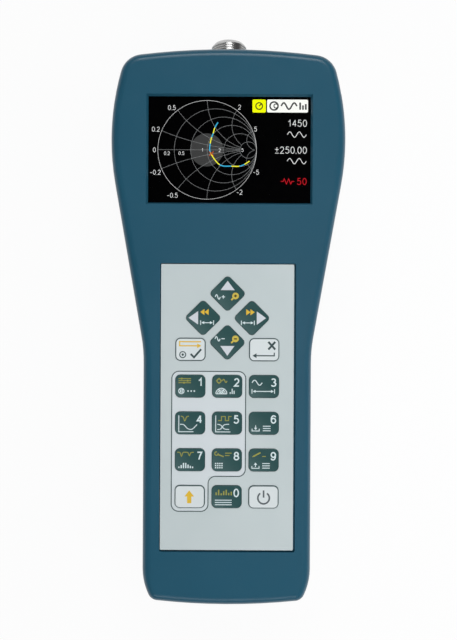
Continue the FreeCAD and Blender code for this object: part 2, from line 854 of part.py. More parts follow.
def buzzer():
    x, y = buzzer_place
    can = post(x, y, board_back - buzzer_height, board_back, buzzer_radius)
    low = board_back - buzzer_height
    return can.cut(post(x, y, low - 1, low + buzzer_hole_depth, buzzer_hole_radius))


def pan_screw(x, y, seat, direction, radius, head_radius, head_height, length):
    """A screw along Z: its head on one side of the seat, its shank on the other."""
    if direction > 0:
        head = post(x, y, seat - head_height, seat, head_radius)
        shank = post(x, y, seat, seat + length, radius)
    else:
        head = post(x, y, seat, seat + head_height, head_radius)
        shank = post(x, y, seat - length, seat, radius)
    return joined([head, shank])


def board_screws():
    size = (board_screw_radius, board_screw_head_radius, board_screw_head_height,
            board_thickness + board_screw_length)
    screws = [pan_screw(x, y, board_back, 1, *size) for x, y in both_sides(head_post_places + handle_post_places)]
    screws += [pan_screw(x, y, rf_board_front, -1, *size) for x, y in rf_post_places()]
    return group(screws)


# ---------------------------------------------------------------- fasteners


def case_screws():
    """Six case screws, driven from the back, each with a cross recess in its head."""
    screws = []
    length = parting_height + screw_tip_length - case_screw_seat
    for x, y in screw_places():
        screw = pan_screw(x, y, case_screw_seat, 1, case_screw_radius, case_screw_head_radius,
                          case_screw_head_height, length)
        top = case_screw_seat - case_screw_head_height
        cross = [block(x - a, x + a, y - b, y + b, top - 1, top + cross_depth)
                 for a, b in ((cross_half_length, cross_half_width), (cross_half_width, cross_half_length))]
        screws.append(without(screw, cross))
    return group(screws)


def threaded_inserts():
    """Brass inserts in the front shell's bosses, with two grooves around each."""
    inserts = []
    for x, y in screw_places():
        ring = post(x, y, parting_height, parting_height + insert_length, insert_radius)
        bore = post(x, y, parting_height - 1, parting_height + insert_length + 1, insert_bore_radius)
        grooves = []
        for share in (1 / 3, 2 / 3):
            z = parting_height + share * insert_length
            band = post(x, y, z, z + insert_groove_width, insert_radius + 1)
            core = post(x, y, z - 1, z + insert_groove_width + 1, insert_radius - insert_groove_depth)
            grooves.append(band.cut(core))
        inserts.append(without(ring, [bore] + grooves))
    return group(inserts)


# ---------------------------------------------------------------- antenna socket


def turned_about_socket(profile):
    """A solid of revolution about the antenna socket's axis from (radius, Y) corners."""
    wire = Part.makePolygon([point(r, y) for r, y in profile + profile[:1]])
    solid = Part.Face(wire).revolve(point(0, 0), point(0, 1, 0), 360)
    solid.translate(point(0, 0, socket_axis))
    return solid


def n_socket_body():
    """Socket body: square flange inside the case, threaded barrel outside it, with a bevelled mouth."""
    y = half_length + thread_start
    profile = [(socket_bore_radius, flange_back), (shank_radius, flange_back), (shank_radius, y),
               (thread_radius, y)]
    y += thread_crest
    flank = (thread_pitch - thread_crest - thread_root) / 2
    while y + thread_pitch < socket_end - nose_chamfer:
        profile += [(thread_radius, y), (thread_radius - thread_depth, y + flank),
                    (thread_radius - thread_depth, y + flank + thread_root),
                    (thread_radius, y + 2 * flank + thread_root)]
        y += thread_pitch
    profile += [(thread_radius, socket_end - nose_chamfer), (nose_radius, socket_end - mouth_bevel),
                (nose_radius - mouth_bevel, socket_end), (socket_bore_radius + mouth_bevel, socket_end),
                (socket_bore_radius, socket_end - mouth_bevel)]
    flange = block(-flange_half_width, flange_half_width, flange_back, flange_front,
                   socket_axis - flange_half_width, socket_axis + flange_half_width)
    along = [e for e in flange.Edges if abs(e.Vertexes[0].Y - e.Vertexes[1].Y) > 1]
    flange = flange.makeFillet(flange_corner_radius, along)
    tools = [rod(0, socket_axis, flange_back - 1, flange_front + 1, socket_bore_radius)]
    for a in (1, -1):
        for b in (1, -1):
            tools.append(rod(a * flange_hole_offset, socket_axis + b * flange_hole_offset, flange_back - 1,
                             flange_front + 1, flange_screw_radius + screw_fit))
    return without(joined([turned_about_socket(profile), flange]), tools)


def n_socket_insulator():
    end = flange_back + insulator_length
    return turned_about_socket([(contact_radius, flange_back), (socket_bore_radius, flange_back),
                                (socket_bore_radius, end), (contact_radius, end)])


def n_socket_contact():
    """Centre contact: a slotted sleeve at the mouth and a tail soldered to the radio-frequency board."""
    tip = socket_end - contact_recess
    tail_end = flange_back - contact_tail_length
    profile = [(0, tail_end), (contact_tail_radius, tail_end), (contact_tail_radius, flange_back),
               (contact_radius, flange_back), (contact_radius, tip - contact_bevel),
               (contact_radius - contact_bevel, tip), (contact_bore_radius, tip),
               (contact_bore_radius, tip - contact_bore_depth),
               (0, tip - contact_bore_depth)]
    contact = turned_about_socket(profile)
    wide = 2 * contact_radius
    narrow = contact_slot / 2
    slots = [block(-a, a, tip - contact_bore_depth, tip + 1, socket_axis - b, socket_axis + b)
             for a, b in ((narrow, wide), (wide, narrow))]
    return without(contact, slots)


def flange_screws():
    """Two screws that hold the socket's flange to the front shell."""
    screws = []
    for side in (1, -1):
        x = side * flange_hole_offset
        z = socket_axis + flange_hole_offset
        head = rod(x, z, flange_back - flange_screw_head_height, flange_back, flange_screw_head_radius)
        shank = rod(x, z, flange_back, flange_front + flange_screw_length, flange_screw_radius)
        screws.append(joined([head, shank]))
    return group(screws)


# ---------------------------------------------------------------- computer socket


def usb_block(grow, y0, y1):
    return block(-usb_half_width - grow, usb_half_width + grow, y0, y1, board_back - usb_height - grow,
                 board_back + grow)


def usb_socket_shell():
    """Folded sheet-metal shell, open at its mouth."""
    mouth = usb_setback - half_length
    outer = usb_block(0, mouth, mouth + usb_depth)
    return outer.cut(usb_block(-usb_sheet, mouth - 1, mouth + usb_depth - usb_sheet))


def usb_socket_core():
    """Plastic core that fills the shell, with the plug's cavity and the tongue in it."""
    mouth = usb_setback - half_length
    core = usb_block(-usb_sheet, mouth + usb_core_setback, mouth + usb_depth - usb_sheet)
    middle = board_back - usb_height / 2
    w = usb_cavity_half_width
    h = usb_cavity_height / 2
    c = usb_cavity_chamfer
    corners = [(-w, -h), (w, -h), (w, h - c), (w - c, h), (c - w, h), (-w, h - c), (-w, -h)]
    face = Part.Face(Part.makePolygon([point(x, mouth - 1, middle + z) for x, z in corners]))
    cavity = face.extrude(point(0, usb_cavity_depth + 1, 0))
    tongue = block(-usb_tongue_half_width, usb_tongue_half_width, mouth + usb_tongue_recess,
                   mouth + usb_cavity_depth + 1, middle - usb_tongue_height / 2, middle + usb_tongue_height / 2)
    return joined([core.cut(cavity), tongue])


# ---------------------------------------------------------------- battery


def cell_places():
    """X of each cell, with 1 where its button points to the head and -1 where it points to the foot."""
    middle = (cell_count - 1) / 2
    return [((number - middle) * cell_pitch, 1 if number % 2 == 0 else -1) for number in range(cell_count)]


def battery_cells():
    cells = []
    for x, way in cell_places():
        if way > 0:
            end = bay_start - contact_sheet
            body = rod(x, cell_axis, end - cell_length, end - cell_nub_length, cell_radius)
            nub = rod(x, cell_axis, end - cell_nub_length, end, cell_nub_radius)
        else:
            end = bay_end + contact_sheet
            body = rod(x, cell_axis, end + cell_nub_length, end + cell_length, cell_radius)
            nub = rod(x, cell_axis, end, end + cell_nub_length, cell_nub_radius)
        cells.append(joined([body, nub]))
    return group(cells)


def coil_spring(turns, length, radius, wire_radius):
    """A coil spring along Y from Y = 0, made of half turns: half rings, each tilted to rise by half a pitch."""
    rise = (length - 2 * wire_radius) / (2 * turns)
    halves = []
    for number in range(2 * turns):
        way = 1 if number % 2 == 0 else -1
        start = point(way * radius, wire_radius + number * rise)
        end = point(-way * radius, wire_radius + (number + 1) * rise)
        axis = (end - start).cross(point(0, 0, way)) * -1
        section = Part.Face(Part.Wire(Part.Circle(start, point(0, 0, 1), wire_radius).toShape()))
        halves.append(section.revolve((start + end) / 2, axis.normalize(), 180))
    return joined(halves)


def battery_springs():
    """A coil spring between each cell's flat end and its contact plate."""
    springs = []
    for x, way in cell_places():
        spring = coil_spring(spring_turns, spring_length - 2 * spring_play, spring_radius, spring_wire_radius)
        start = bay_end + contact_sheet if way > 0 else bay_start - contact_sheet - spring_length
        spring.translate(point(x, start + spring_play, cell_axis))
        springs.append(spring)
    return group(springs)


def tab_places():
    """X and low Y of the two tabs that carry the battery's ends up to the leads."""
    first = cell_places()[0][0]
    last, way = cell_places()[-1]
    last_y = bay_end if way > 0 else bay_start - contact_sheet
    return [(first, bay_start - contact_sheet), (last, last_y)]


def battery_contacts():
    """Contact plates: a single one at each end of the row of cells, and links between the others."""
    plates = []
    centres = [x for x, way in cell_places()]
    for near in (True, False):
        y0 = bay_start - contact_sheet if near else bay_end
        number = 0
        while number < cell_count:
            alone = (number == 0 and near) or number == cell_count - 1
            last = number if alone else number + 1
            plates.append(block(centres[number] - contact_half_width, centres[last] + contact_half_width,
                                y0, y0 + contact_sheet, contact_bottom, contact_top))
            number = last + 1
    tabs = [block(x - tab_half_width, x + tab_half_width, y, y + contact_sheet, contact_top, tab_top)
            for x, y in tab_places()]
    for tab in tabs:
        for number, plate in enumerate(plates):
            if plate.distToShape(tab)[0] < 1e-6:
                plates[number] = joined([plate, tab])
    return group(plates)


def battery_leads():
    """Two wires from the tabs straight up to the main board."""
    leads = []
    for x, y in tab_places():
        leads.append(post(x, y + contact_sheet / 2, tab_top, board_back, lead_radius))
    return group(leads)


def back_label():
    return rounded_plate((0, (plate_start + plate_end) / 2), 2 * plate_half_width, plate_end - plate_start,
                         plate_corner_radius, plate_recess - plate_thickness, plate_recess)


nodes = {
    "front_shell": front_shell(),
    "rear_shell": rear_shell(),
    "battery_cover": battery_cover(),
    "display_window": display_window(),
    "display_gasket": display_gasket(),
    "lcd_panel": lcd_panel(),
    "lcd_backlight": lcd_backlight(),
    "lcd_tray": lcd_tray(),
    "lcd_flex_cable": lcd_flex_cable(),
    "keypad_overlay": keypad_overlay(),
    "keypad_spacer": keypad_spacer(),
    "keypad_circuit": keypad_circuit(),
    "snap_domes": snap_domes(),
    "main_board": main_board(),
    "rf_board": rf_board(),
    "shield_can": shield_can(),
    "board_chips": board_chips(),
    "flex_sockets": flex_sockets(),
    "board_link": board_link(),
    "buzzer": buzzer(),
    "board_screws": board_screws(),
    "case_screws": case_screws(),
    "threaded_inserts": threaded_inserts(),
    "n_socket_body": n_socket_body(),
    "n_socket_insulator": n_socket_insulator(),
    "n_socket_contact": n_socket_contact(),
    "flange_screws": flange_screws(),
    "usb_socket_shell": usb_socket_shell(),
    "usb_socket_core": usb_socket_core(),
    "battery_cells": battery_cells(),
    "battery_springs": battery_springs(),
    "battery_contacts": battery_contacts(),
    "battery_leads": battery_leads(),
    "back_label": back_label(),
}
for name, *shape in key_layout():
    nodes[name] = key(shape)

os.makedirs("parts", exist_ok=True)
for name, shape in nodes.items():
    shape.exportStep("parts/" + name + ".step")
    box = shape.BoundBox
    print(f"{name:20} {len(shape.Solids):3} solids {shape.Volume:10.1f} mm3 valid {shape.isValid()} "
          f"X {box.XMin:.2f} {box.XMax:.2f} Y {box.YMin:.2f} {box.YMax:.2f} Z {box.ZMin:.2f} {box.ZMax:.2f}")
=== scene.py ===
"""Looks of a handheld antenna analyzer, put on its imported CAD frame.

The sections follow the object as it is put together. Sizes are millimetres in the part's own frame, X across,
Y towards the antenna socket and Z up from the back, and MM brings them to Blender's metres.
"""
import functools
import math

import bmesh
import bpy
import numpy as np
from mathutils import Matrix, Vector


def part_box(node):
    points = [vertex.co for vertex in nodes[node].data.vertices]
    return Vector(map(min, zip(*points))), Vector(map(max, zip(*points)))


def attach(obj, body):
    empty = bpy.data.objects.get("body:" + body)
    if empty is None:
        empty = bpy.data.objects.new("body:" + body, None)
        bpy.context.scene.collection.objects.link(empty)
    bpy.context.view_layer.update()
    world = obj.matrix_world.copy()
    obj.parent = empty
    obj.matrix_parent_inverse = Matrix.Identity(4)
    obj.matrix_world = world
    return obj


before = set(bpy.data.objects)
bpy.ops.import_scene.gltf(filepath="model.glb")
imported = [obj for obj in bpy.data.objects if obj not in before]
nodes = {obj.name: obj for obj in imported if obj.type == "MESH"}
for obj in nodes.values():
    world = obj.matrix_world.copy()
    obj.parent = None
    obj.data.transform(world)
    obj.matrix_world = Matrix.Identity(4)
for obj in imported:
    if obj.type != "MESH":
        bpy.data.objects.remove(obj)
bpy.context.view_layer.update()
MM = 0.001


# ---------------------------------------------------------------- camera, floor and light
# The object lies on its back on a white floor, with the camera straight above it. A strip of light beyond the
# antenna socket draws the bright line on the case's edge, and a weak one stands beyond the foot. Two panels,
# one overhead and one near on the right, give light but no gloss.
camera_height = 322.0
camera_place = (0.42, 2.83)
camera_turn = 0.3              # degrees about Z
camera_lens = 36.41

camera_data = bpy.data.cameras.new("camera")
camera_data.lens = camera_lens
camera_data.sensor_width = 36.0
camera_data.clip_start = 0.01
camera = bpy.data.objects.new("camera", camera_data)
camera.location = (camera_place[0] * MM, camera_place[1] * MM, camera_height * MM)
camera.rotation_euler = (0, 0, math.radians(camera_turn))
bpy.context.scene.collection.objects.link(camera)
bpy.context.scene.camera = camera
bpy.context.scene.view_settings.view_transform = "Standard"


def soft_box(name, place, width, height, power, mirrored=True):
    """A soft box facing the object's middle, in metres and watts. One that isn't mirrored gives no gloss."""
    data = bpy.data.lights.new(name, "AREA")
    data.shape = "RECTANGLE"
    data.size, data.size_y, data.energy = width, height, power
    lamp = bpy.data.objects.new(name, data)
    lamp.location = place
    lamp.rotation_mode = "QUATERNION"
    lamp.rotation_quaternion = (-lamp.location).to_track_quat("-Z", "Y")
    lamp.visible_glossy = lamp.visible_transmission = mirrored
    bpy.context.scene.collection.objects.link(lamp)
    return lamp


key_strip = soft_box("key_strip", (0.06, 0.98, 0.92), 0.75, 0.18, 4.8)
foot_strip = soft_box("foot_strip", (-0.1, -0.95, 0.75), 0.8, 0.2, 1.8)
soft_box("top_panel", (0.0, -0.03, 0.9), 0.3, 0.7, 2.1, mirrored=False)
soft_box("right_panel", (0.26, -0.06, 0.30), 0.3, 0.7, 0.8, mirrored=False)


class Value:
    """A shader socket that takes part in sums: each operator adds its Math node to the socket's material."""

    def __init__(self, finish, socket):
        self.finish, self.socket = finish, socket

    def math(self, operation, *terms):
        """One Math node on some terms."""
        return self.finish.node("ShaderNodeMath", {"operation": operation}, dict(enumerate(terms)))

    def __add__(self, other):
        return self.math("ADD", self, other)

    def __sub__(self, other):
        return self.math("SUBTRACT", self, other)

    def __rsub__(self, other):
        return self.math("SUBTRACT", other, self)

    def __mul__(self, other):
        return self.math("MULTIPLY", self, other)

    def __truediv__(self, other):
        return self.math("DIVIDE", self, other)

    def __pow__(self, other):
        return self.math("POWER", self, other)

    def __abs__(self):
        return self.math("ABSOLUTE", self)

    __radd__ = __add__
    __rmul__ = __mul__

    def least(self, other):
        """The smaller of two values."""
        return self.math("MINIMUM", self, other)

    def most(self, other):
        """The larger of two values."""
        return self.math("MAXIMUM", self, other)

    def wrap(self, half):
        """What is left of a length after whole turns of twice half, from -half to half."""
        return self.math("WRAP", self, half, -half)

    def fade(self, low, high):
        """0 at low, 1 at high, straight in between and level beyond."""
        return self.finish.node("ShaderNodeMapRange", {}, {"Value": self, "From Min": low, "From Max": high})


class Finish:
    """The nodes of a material or of the world."""

    def __init__(self, owner):
        self.data = owner
        owner.use_nodes = True
        self.tree = owner.node_tree

    def node(self, kind, settings, inputs, output=0):
        """Adds a node of a kind, sets it, then feeds its inputs, and gives one of its outputs."""
        made = self.tree.nodes.new(kind)
        for name, value in settings.items():
            setattr(made, name, value)
        for name, value in inputs.items():
            self.feed(made.inputs[name], value)
        return Value(self, made.outputs[output])

    def feed(self, socket, value):
        """Links a value to a socket, or sets the socket where the value is a number or a colour."""
        if isinstance(value, Value):
            self.tree.links.new(value.socket, socket)
        else:
            socket.default_value = value

    def ray(self, kind):
        """1 for the light path's rays of one kind, else 0."""
        return self.node("ShaderNodeLightPath", {}, {}, f"Is {kind} Ray")

    def place(self):
        """Where a point lies in the part's own frame, in metres."""
        return self.node("ShaderNodeTexCoord", {}, {}, "Object")

    def along(self, axes):
        """Where a point lies along each of some axes, in millimetres."""
        return [self.node("ShaderNodeSeparateXYZ", {}, {0: self.place()}, axis) / MM for axis in axes]

    def grain(self, size, detail=2.0, stretch=(1, 1, 1)):
        """Soft noise from 0 to 1 in blotches of about size millimetres, longer where stretch is small."""
        place = self.node("ShaderNodeVectorMath", {"operation": "MULTIPLY"}, {0: self.place(), 1: stretch})
        inputs = {"Vector": place, "Scale": 1 / (size * MM), "Detail": detail}
        return self.node("ShaderNodeTexNoise", {}, inputs)

    def mix(self, share, first, second):
        """A colour between two colours."""
        return self.node("ShaderNodeMix", {"data_type": "RGBA"}, {0: share, 6: first, 7: second}, 2)

    def bump(self, height, depth):
        """A normal from a height of 0 to 1, depth millimetres deep."""
        return self.node("ShaderNodeBump", {}, {"Height": height, "Distance": depth * MM}, "Normal")


def srgb(red, green, blue):
    """A colour given as it looks on a screen, from 0 to 255, as linear light."""
    share = np.array([red, green, blue]) / 255
    light = np.where(share <= 0.04045, share / 12.92, ((share + 0.055) / 1.055) ** 2.4)
    return (*light, 1.0)


# What the camera sees of the surroundings is white. Gloss, also inside the window, sees dim walls and a dark
# ceiling that is paler on the right.
world = bpy.data.worlds.new("studio")
bpy.context.scene.world = world
studio = Finish(world)
direction = studio.node("ShaderNodeTexCoord", {}, {}, "Generated")
right, height = (studio.node("ShaderNodeSeparateXYZ", {}, {0: direction}, axis) for axis in "XZ")
walls = studio.mix(height.fade(0.0, 0.3), (0.42, 0.42, 0.42, 1), (0.12, 0.12, 0.12, 1))
ceiling = studio.mix(right.fade(0.13, 0.16), (0.008, 0.008, 0.01, 1), (0.25, 0.25, 0.25, 1))
reflected = studio.mix(height.fade(0.75, 0.9), walls, ceiling)
ambient = studio.mix(studio.ray("Diffuse"), reflected, (0.17, 0.18, 0.19, 1))
backdrop = studio.mix(studio.ray("Camera"), ambient, (1, 1, 1, 1))
studio.feed(world.node_tree.nodes["Background"].inputs["Color"], backdrop)

# The floor is white paper. To the camera, in gloss and through glass it shines, but less near the object.
floor_reach = 6.0              # metres
floor_drop = 0.05              # below the object's back
glow_near, glow_more = 0.92, 0.08
glow_start, glow_end = 0.2, 0.7  # metres from the object's middle
floor_mesh = bpy.data.meshes.new("floor")
corners = [(x * floor_reach, y * floor_reach, -floor_drop * MM)
           for x, y in ((-1, -1), (1, -1), (1, 1), (-1, 1))]
floor_mesh.from_pydata(corners, [], [(0, 1, 2, 3)])
floor = bpy.data.objects.new("floor", floor_mesh)
bpy.context.scene.collection.objects.link(floor)
paper = Finish(bpy.data.materials.new("floor_paper"))
paper_shader = paper.tree.nodes["Principled BSDF"]
paper_shader.inputs["Base Color"].default_value = (0.9, 0.9, 0.9, 1)
paper_shader.inputs["Roughness"].default_value = 0.8
paper_shader.inputs["Specular IOR Level"].default_value = 0.0
seen = paper.ray("Camera").most(paper.ray("Glossy")).most(paper.ray("Transmission"))
distance = paper.node("ShaderNodeVectorMath", {"operation": "LENGTH"}, {0: paper.place()}, "Value")
glow = paper.node("ShaderNodeEmission", {}, {"Color": (1, 1, 1, 1), "Strength": 1.0})
glow_share = seen * (glow_near + glow_more * distance.fade(glow_start, glow_end))
unlit = Value(paper, paper_shader.outputs[0])
paper_mix = paper.node("ShaderNodeMixShader", {}, {0: glow_share, 1: unlit, 2: glow})
paper.feed(paper.tree.nodes["Material Output"].inputs["Surface"], paper_mix)
floor_mesh.materials.append(paper.data)


# ---------------------------------------------------------------- case
# Two shells moulded in teal plastic and screwed together, and a battery cover that slides in grooves of the
# rear one. All three have a fine satin texture from the mould.
def finish(name, colour, roughness, **sockets):
    """A material on the Principled shader, with a plain colour and roughness until a pattern takes their
    place. A socket's name is written with _ for its spaces."""
    made = Finish(bpy.data.materials.new(name))
    made.shader = made.tree.nodes["Principled BSDF"]
    set_sockets(made, Base_Color=colour, Roughness=roughness, **sockets)
    return made


def set_sockets(made, **sockets):
    """Feeds sockets of a finish, those that take nodes once the nodes are there."""
    for socket, value in sockets.items():
        made.feed(made.shader.inputs[socket.replace("_", " ")], value)


def dress(made, *names):
    """Puts a finish on CAD nodes."""
    for name in names:
        nodes[name].material_slots[0].material = made.data


def sparked(name, colour, roughness, depth):
    """Plastic of one colour from a sparked mould: specks of some depth, and gloss that varies a little."""
    made = finish(name, colour, roughness)
    made.speck = made.grain(0.35, 3.0)
    set_sockets(made, Roughness=roughness - 0.04 + 0.08 * made.grain(6.0),
                Normal=made.bump(made.speck, depth))
    return made


def moulded(name, colour, pale, roughness, depth):
    """Sparked plastic that drifts slowly between two shades, seven tenths by place and the rest by speck."""
    made = sparked(name, colour, roughness, depth)
    shade = made.grain(45.0, 3.0).fade(0.3, 0.7) * 0.7 + made.speck * 0.3
    set_sockets(made, Base_Color=made.mix(shade, colour, pale))
    return made


case_plastic = moulded("case_plastic", srgb(29, 82, 104), srgb(34, 87, 109), 0.31, 0.01)
set_sockets(case_plastic, Specular_IOR_Level=0.4)
dress(case_plastic, "front_shell", "rear_shell", "battery_cover")


# ---------------------------------------------------------------- case screws and inserts
# Zinc-plated steel screws, driven from the back into turned brass inserts in the front shell's bosses.
# Smaller ones hold the boards and the antenna socket's flange.
def dimmed(colour, share):
    """A colour with each channel times a share."""
    return tuple(channel * share for channel in colour[:3]) + (1.0,)


def metal(name, colour, roughness, scratch):
    """Plated or turned metal: cloudy patches in the plating, and fine scratches that change its gloss."""
    made = finish(name, colour, roughness, Metallic=1.0)
    cloud = made.grain(4.0, 3.0)
    lines = made.grain(0.25, 2.0, scratch)
    set_sockets(made, Base_Color=made.mix(cloud.fade(0.35, 0.75), colour, dimmed(colour, 0.78)),
                Roughness=roughness - 0.06 + 0.06 * cloud + 0.06 * lines, Normal=made.bump(lines, 0.004))
    return made


dress(metal("zinc_steel", (0.60, 0.60, 0.62, 1), 0.30, (1, 1, 1)),
      "case_screws", "board_screws", "flange_screws")
dress(metal("brass", (0.72, 0.52, 0.22, 1), 0.25, (1, 1, 8)), "threaded_inserts")


# ---------------------------------------------------------------- bare plate on the back
# A satin polyester label, stuck into its recess in the back. It is bare inside a thin frame that is printed
# along its edge.
def arc(centre, radius, start, end, steps=12):
    """Points on a circle about centre, from one angle in degrees to another. A pair of radii makes an
    ellipse."""
    turn = np.radians(np.linspace(start, end, steps + 1))
    return np.array(centre) + radius * np.column_stack([np.cos(turn), np.sin(turn)])


def ring(centre, radius, steps=32):
    """Points all round a circle, each once."""
    return arc(centre, radius, 0, 360, steps)[:-1]


def rounded(corners, radius, steps=12):
    """A closed outline whose right-angled corners become quarters of a circle. The circle's centre is the
    corner plus the radius times the directions to both neighbours."""
    corners = np.array(corners, float)
    back, ahead = np.roll(corners, 1, 0) - corners, np.roll(corners, -1, 0) - corners
    back, ahead = (way / np.linalg.norm(way, axis=1, keepdims=True) for way in (back, ahead))
    turn = np.linspace(0, math.pi / 2, steps + 1)[None, :, None]
    swing = ahead[:, None] * np.cos(turn) + back[:, None] * np.sin(turn)
    return ((corners + (back + ahead) * radius)[:, None] - radius * swing).reshape(-1, 2)


def box_outline(x, y, width, height, radius, steps=12):
    """A box about (x, y) with round corners."""
    w, h = width / 2, height / 2
    return rounded([(x - w, y - h), (x + w, y - h), (x + w, y + h), (x - w, y + h)], radius, steps)


def plate(outline, low, high):
    """A flat plate: its outline at two heights, with a wall between them and a cap on each."""
    outline = np.asarray(outline, float)
    count = len(outline)
    here = np.arange(count)
    ahead = np.roll(here, -1)
    points = np.concatenate([np.column_stack([outline, np.full(count, z)]) for z in (low, high)])
    walls = np.column_stack([here, ahead, ahead + count, here + count])
    return points, walls.tolist() + [here[::-1].tolist(), (here + count).tolist()]


def band(line, width, low, high, closed=False):
    """A flat band along a line. Each point moves to both sides along its corner's bisector, by half the width
    over the cosine of half the turn, which counts as 0.4 at least, and is there at two heights."""
    line = np.asarray(line, float)
    behind, ahead = line - np.roll(line, 1, 0), np.roll(line, -1, 0) - line
    if not closed:
        behind[0], ahead[-1] = ahead[0], behind[-1]
    behind, ahead = (way / np.linalg.norm(way, axis=1, keepdims=True) for way in (behind, ahead))
    along = behind + ahead
    along /= np.linalg.norm(along, axis=1, keepdims=True)
    reach = width / 2 / np.clip((along * ahead).sum(1, keepdims=True), 0.4, 1)
    side = np.column_stack([-along[:, 1], along[:, 0]]) * reach
    count = len(line)
    rails = [(line + side, low), (line - side, low), (line - side, high), (line + side, high)]
    points = np.concatenate([np.column_stack([rail, np.full(count, z)]) for rail, z in rails])
    here = np.arange(count if closed else count - 1)
    after = (here + 1) % count
    faces = []
    for a, b in ((0, 1), (1, 2), (2, 3), (3, 0)):
        sides = [here + a * count, here + b * count, after + b * count, after + a * count]
        faces += np.column_stack(sides).tolist()
    if not closed:
        faces += [[0, count, 2 * count, 3 * count], [k * count - 1 for k in (4, 3, 2, 1)]]
    return points, faces


def piece(name, parts, made, body, place=(0, 0, 0)):
    """One object from parts, each points in millimetres and faces, moved to a place and put on a body. A part
    lies a hair above the one before it, and every sixteenth is back at the lowest, so that no crossing faces
    share a plane."""
    hair, layers = 0.0006, 16
    starts = np.cumsum([0] + [len(points) for points, _ in parts])
    lifted = np.concatenate([points + (0, 0, hair * (k % layers)) for k, (points, _) in enumerate(parts)])
    rings = [[k + start for k in face] for start, (_, faces) in zip(starts, parts) for face in faces]
    mesh = bpy.data.meshes.new(name)
    mesh.from_pydata(((lifted + place) * MM).tolist(), [], rings)
    work = bmesh.new()
    work.from_mesh(mesh)
    bmesh.ops.recalc_face_normals(work, faces=work.faces)
    work.to_mesh(mesh)
    work.free()
    mesh.materials.append(made.data)
    thing = bpy.data.objects.new(name, mesh)
    bpy.context.scene.collection.objects.link(thing)
    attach(thing, body)


def corners_of(node):
    """A CAD node's lowest and highest corner, in millimetres."""
    low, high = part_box(node)
    return np.array(low) / MM, np.array(high) / MM


def face_of(node):
    """The middle of a CAD node's highest face, in millimetres."""
    low, high = corners_of(node)
    return ((low + high)[0] / 2, (low + high)[1] / 2, high[2])


dress(moulded("label_film", srgb(186, 190, 192), srgb(196, 199, 200), 0.35, 0.003), "back_label")
dark_ink = finish("dark_ink", srgb(52, 74, 76), 0.5)
set_sockets(dark_ink, Roughness=0.42 + 0.16 * dark_ink.grain(0.5))
frame_inset, frame_line, frame_radius = 2.0, 0.35, 2.0
ink = 0.015                    # thickness of printing
low, high = corners_of("back_label")
width, height = (high - low)[:2] - 2 * frame_inset
outline = box_outline(*(low + high)[:2] / 2, width, height, frame_radius)
piece("back_label_frame", [band(outline, frame_line, low[2] - ink, low[2] + ink, closed=True)],
      dark_ink, "housing")


# ---------------------------------------------------------------- antenna socket
# Turned brass with bright nickel plating, a white insulator and a gold-plated contact with four slots. Two
# lamps of its own light the turned body.
dress(metal("nickel_plating", (0.58, 0.58, 0.575, 1), 0.24, (1, 30, 1)),
      "n_socket_body", "battery_springs", "battery_contacts")
dress(moulded("white_insulator", srgb(226, 226, 222), srgb(238, 238, 235), 0.38, 0.004), "n_socket_insulator")
dress(metal("gold_contact", (0.80, 0.56, 0.22, 1), 0.2, (1, 20, 1)), "n_socket_contact")
socket_alone = bpy.data.collections.new("antenna_socket")
socket_alone.objects.link(nodes["n_socket_body"])
for lamp in (soft_box("socket_strip", (0.0, 0.62, 1.0), 0.5, 0.3, 1.0),
             soft_box("socket_fill", (-0.79, 0.53, 0.62), 0.5, 1.2, 1.2)):
    lamp.light_linking.receiver_collection = socket_alone


# ---------------------------------------------------------------- computer socket
# A folded shell of tinned steel round a moulded black core, on the main board. The boards' shield can and the
# display's tray share its tin, and the small sockets and the buzzer share its plastic.
tin = metal("tinned_steel", (0.56, 0.56, 0.55, 1), 0.28, (40, 1, 1))
black_plastic = moulded("black_plastic", srgb(24, 24, 26), srgb(34, 34, 36), 0.45, 0.01)
dress(tin, "usb_socket_shell", "shield_can", "lcd_tray")
dress(black_plastic, "usb_socket_core", "flex_sockets", "board_link", "buzzer")


# ---------------------------------------------------------------- display
# An acrylic window and a foam gasket over the liquid-crystal panel, which lies on its light guide in a tinned
# tray and is fed by an amber flex cable. The panel shows a chart of impedances, lit on black.
window = finish("window_acrylic", srgb(246, 248, 248), 0.0, Transmission_Weight=1.0, IOR=1.49)
set_sockets(window, Roughness=0.012 * window.grain(12.0))
dress(window, "display_window")

# The two strips don't light the window, so that no glare lies on it.
unmirrored = bpy.data.collections.new("display_window")
unmirrored.objects.link(nodes["display_window"])
unmirrored.collection_objects[0].light_linking.link_state = "EXCLUDE"
for lamp in (key_strip, foot_strip):
    lamp.light_linking.receiver_collection = unmirrored

dress(moulded("black_foam", srgb(16, 16, 17), srgb(26, 26, 27), 0.9, 0.06), "display_gasket")
panel_glass = finish("panel_glass", (0.0008, 0.0008, 0.001, 1), 0.3, Specular_IOR_Level=0.1)
set_sockets(panel_glass, Roughness=0.28 + 0.04 * panel_glass.grain(20.0))
dress(panel_glass, "lcd_panel")
guide = finish("light_guide", srgb(235, 238, 242), 0.25)
set_sockets(guide, Base_Color=guide.mix(guide.grain(0.8, 1.0), srgb(226, 230, 236), srgb(242, 244, 247)))
dress(guide, "lcd_backlight")
amber = finish("amber_film", srgb(205, 140, 52), 0.25)
tracks = amber.grain(0.5, 1.0, (1, 0.02, 0.02)).fade(0.45, 0.55)
set_sockets(amber, Base_Color=amber.mix(tracks, srgb(190, 120, 38), srgb(222, 165, 84)))
dress(amber, "lcd_flex_cable")

screen = face_of("lcd_panel")
dots = 0.012                   # one layer of lit dots


def layer(number):
    """The heights between which a layer of lit dots lies. Layer 0 lies on the panel."""
    return number * dots, (number + 1) * dots


